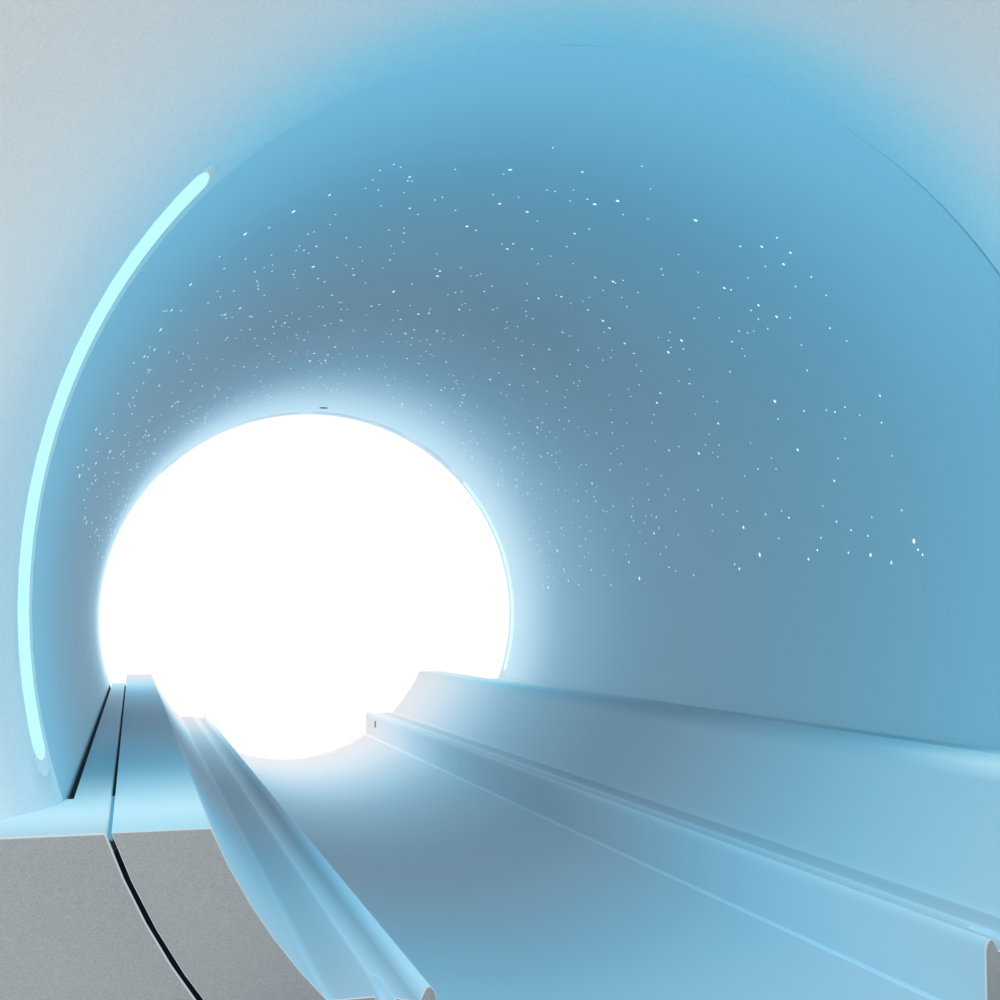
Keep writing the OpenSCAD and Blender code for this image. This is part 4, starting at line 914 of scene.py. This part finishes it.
# Nodes shown as softened copies: edge radius in metres
softened = {
    "front_cover": 0.0015, "rear_cover": 0.0015, "side_cover_left": 0.0015, "side_cover_right": 0.0015,
    "top_cover": 0.0015, "turret_cover": 0.0015, "vent_pipe": 0.001, "cable_glands": 0.0008,
    "info_display": 0.0015, "positioning_light": 0.001, "panel_left": 0.0018, "panel_right": 0.0018,
    "button_in_left": 0.0006, "button_out_left": 0.0006, "button_light_left": 0.0006, "stop_left": 0.0012,
    "button_in_right": 0.0006, "button_out_right": 0.0006, "button_light_right": 0.0006,
    "stop_right": 0.0012, "magnet_feet": 0.002, "table_base": 0.006, "lower_skirt": 0.002,
    "upper_skirt": 0.002, "under_cover": 0.004, "table_frame": 0.0012, "frame_end_cap": 0.003,
    "side_rails": 0.0015, "tabletop": 0.003, "pull_handle": 0.001, "belt_clamp": 0.001,
    "drive_motor": 0.001, "bore_microphone": 0.0003,
}
wideEdge = 0.002  # edges rounder than this get a third segment
for node, softEdge in softened.items():
    segments = 3 if softEdge > wideEdge else 2
    dressedCopy(node, node + "_skin", softEdge, finishes[slotOfNode[node]], segments)
for node, slot in slotOfNode.items():
    if slot in finishes and node not in softened:
        paintNode(node, finishes[slot])
print("nodes dressed")


# Mattress: a foam pad in a welded cover, swollen by cloth simulation, with sewn lines across
mattressLook = {
    "tone": (66, 86, 104),
    "grainTone": (52, 70, 86),
    "creaseTone": (92, 112, 128),
    "creaseShare": 0.25,
    "grain": 750.0,
    "fine": 0.8,
    "creases": {"perMetre": 14.0, "detail": 5.0, "distortion": 0.8, "height": 2.0},
    "roughness": 0.55,
    "specular": 0.35,
    "sheen": 0.12,
    "relief": (0.35, 0.0009),
    "voxel": 0.008,
    "pressure": 3.0,
    "stiffness": 30,
    "steps": 15,
    "swell": 0.006,
    "topBand": 0.02,
    "seams": (0.52, 1.04, 1.56),
    "seamDepth": 0.004,
    "seamWidth": 0.007,
}
padTones = [screenTone(*mattressLook[key]) for key in ("tone", "grainTone", "creaseTone")]
padFinish, tree, shader = newFinish("padCover", mattressLook)
place = objectPlace(tree)
grainValues = {"Pebbles per metre": mattressLook["grain"], "Fine": mattressLook["fine"]}
grain = placeGroup(tree, mouldedGrain, (-1100, -200), place, grainValues)
creaseLook = mattressLook["creases"]
perMetre, detail, distortion = creaseLook["perMetre"], creaseLook["detail"], creaseLook["distortion"]
creases = noiseNode(tree, place, perMetre, detail, (-1100, 200), distortion)
padTone = mixTone(tree, grain["Shade"], padTones[1], padTones[0], (-600, 100))
creaseShare = mathNode(tree, "MULTIPLY", creases, mattressLook["creaseShare"], (-800, 300))
wire(tree, mixTone(tree, creaseShare, padTone, padTones[2], (-350, 100)), shader.inputs["Base Color"])
shader.inputs["Sheen Weight"].default_value = mattressLook["sheen"]
creaseHeight = mathNode(tree, "MULTIPLY", creases, creaseLook["height"], (-800, -100))
padHeight = mathNode(tree, "ADD", creaseHeight, grain["Height"], (-600, -200))
addRelief(tree, shader, padHeight, *mattressLook["relief"])

pad = weldedCopy("mattress", "mattress_pad")
bpy.ops.object.mode_set(mode="OBJECT")
padLow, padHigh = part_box("mattress")
remesh = pad.modifiers.new("voxels", "REMESH")
remesh.mode = "VOXEL"
remesh.voxel_size = mattressLook["voxel"]
applyModifiers(pad)
startPlaces = [v.co.copy() for v in pad.data.vertices]
cloth = pad.modifiers.new("foamCover", "CLOTH")
cloth.settings.use_pressure = True
cloth.settings.uniform_pressure_force = mattressLook["pressure"]
cloth.settings.tension_stiffness = mattressLook["stiffness"]
cloth.settings.compression_stiffness = mattressLook["stiffness"]
cloth.settings.effector_weights.gravity = 0.0
for step in range(mattressLook["steps"]):
    scene.frame_set(step + 1)
applyModifiers(pad)
for vertex, start in zip(pad.data.vertices, startPlaces):
    moved = vertex.co - start
    if moved.length > mattressLook["swell"]:
        moved *= mattressLook["swell"] / moved.length
    moved.z = max(moved.z, 0.0)  # the underside stays flat on the tabletop
    vertex.co = start + moved
scene.frame_set(1)
for vertex in pad.data.vertices:
    if vertex.co.z < padHigh.z - mattressLook["topBand"]:
        continue
    for seamPlace in mattressLook["seams"]:
        gap = abs(vertex.co.y - (padLow.y + seamPlace)) / mattressLook["seamWidth"]
        vertex.co.z -= mattressLook["seamDepth"] * math.exp(-(gap ** 2))
subdivide = pad.modifiers.new("finer", "SUBSURF")
subdivide.levels = subdivide.render_levels = 1
applyModifiers(pad)
bpy.ops.object.shade_smooth()
pad.data.materials.clear()
pad.data.materials.append(padFinish)
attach(pad, "top")
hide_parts("mattress")
print("mattress done")


# Room: a pale floor, a white surround and soft studio lamps
roomLook = {
    "floor": {"tone": (226, 230, 233), "roughness": 0.5},
    "floorSize": 60.0,
    "floorDrop": 0.0004,
    "fadeSpan": (3.6, 9.0),  # distances over which the floor turns white
    "ambientTone": (1.0, 0.99, 0.98, 1.0),
    "ambient": 0.45,
    "white": (1, 1, 1, 1),
}


def seenDirectly(tree, place):
    # 1 for rays that see the surround itself: from the camera, in reflections and through clear parts
    rays = addNode(tree, "ShaderNodeLightPath", place).outputs
    seen = mathNode(tree, "MAXIMUM", rays["Is Camera Ray"], rays["Is Glossy Ray"], (place[0] + 200, place[1]))
    return mathNode(tree, "MAXIMUM", seen, rays["Is Transmission Ray"], (place[0] + 400, place[1]))


def mixIntoWhite(tree, kind, share, plain, output):
    # The plain shader, turned to an even white by share
    white = addNode(tree, kind, (0, -200))
    white.inputs["Color"].default_value = roomLook["white"]
    white.inputs["Strength"].default_value = 1.0
    mix = addNode(tree, "ShaderNodeMixShader", (250, 0))
    wire(tree, share, mix.inputs["Fac"])
    wire(tree, plain, mix.inputs[1])
    wire(tree, white.outputs[0], mix.inputs[2])
    wire(tree, mix.outputs["Shader"], tree.nodes[output].inputs["Surface"])


deselectAll()
bpy.ops.mesh.primitive_plane_add(size=roomLook["floorSize"], location=(0, 0, -roomLook["floorDrop"]))
floor = bpy.context.object
floor.name = "floor"
floorFinish, tree, shader = newFinish("paleFloor", roomLook["floor"])
distance = vectorNode(tree, "LENGTH", objectPlace(tree), (-1100, 0)).outputs["Value"]
fade = stepMask(tree, distance, *roomLook["fadeSpan"], (-900, 0))
whiteShare = mathNode(tree, "MULTIPLY", seenDirectly(tree, (-1100, 300)), fade, (-500, 200))
mixIntoWhite(tree, "ShaderNodeEmission", whiteShare, shader.outputs["BSDF"], "Material Output")
floor.data.materials.append(floorFinish)

world = bpy.data.worlds.new("studio")
world.use_nodes = True
scene.world = world
ambient = world.node_tree.nodes["Background"]
ambient.inputs["Color"].default_value = roomLook["ambientTone"]
ambient.inputs["Strength"].default_value = roomLook["ambient"]
seen = seenDirectly(world.node_tree, (-500, 300))
mixIntoWhite(world.node_tree, "ShaderNodeBackground", seen, ambient.outputs["Background"], "World Output")

lampLooks = {
    "keyLamp": {"place": (-2.8, -4.2, 3.4), "aim": (0, -0.6, 1.0), "size": 2.6, "watts": 60.0},
    "fillLamp": {"place": (3.4, -3.0, 2.6), "aim": (0, -0.6, 0.9), "size": 2.6, "watts": 26.0},
    "rearLamp": {"place": (0.0, 3.4, 1.5), "aim": (0, 0.9, 1.05), "size": 1.8, "watts": 5.0},
    "topLamp": {"place": (0.5, 0.5, 5.0), "aim": (0, 0, 1.0), "size": 3.0, "watts": 60.0},
}
for name, look in lampLooks.items():
    lampData = bpy.data.lights.new(name, "AREA")
    lampData.shape = "SQUARE"
    lampData.size = look["size"]
    lampData.energy = look["watts"]
    lamp = bpy.data.objects.new(name, lampData)
    lamp.location = look["place"]
    lamp.rotation_euler = (Vector(look["aim"]) - Vector(look["place"])).to_track_quat("-Z", "Y").to_euler()
    lamp.visible_camera = False
    scene.collection.objects.link(lamp)
print("room done")
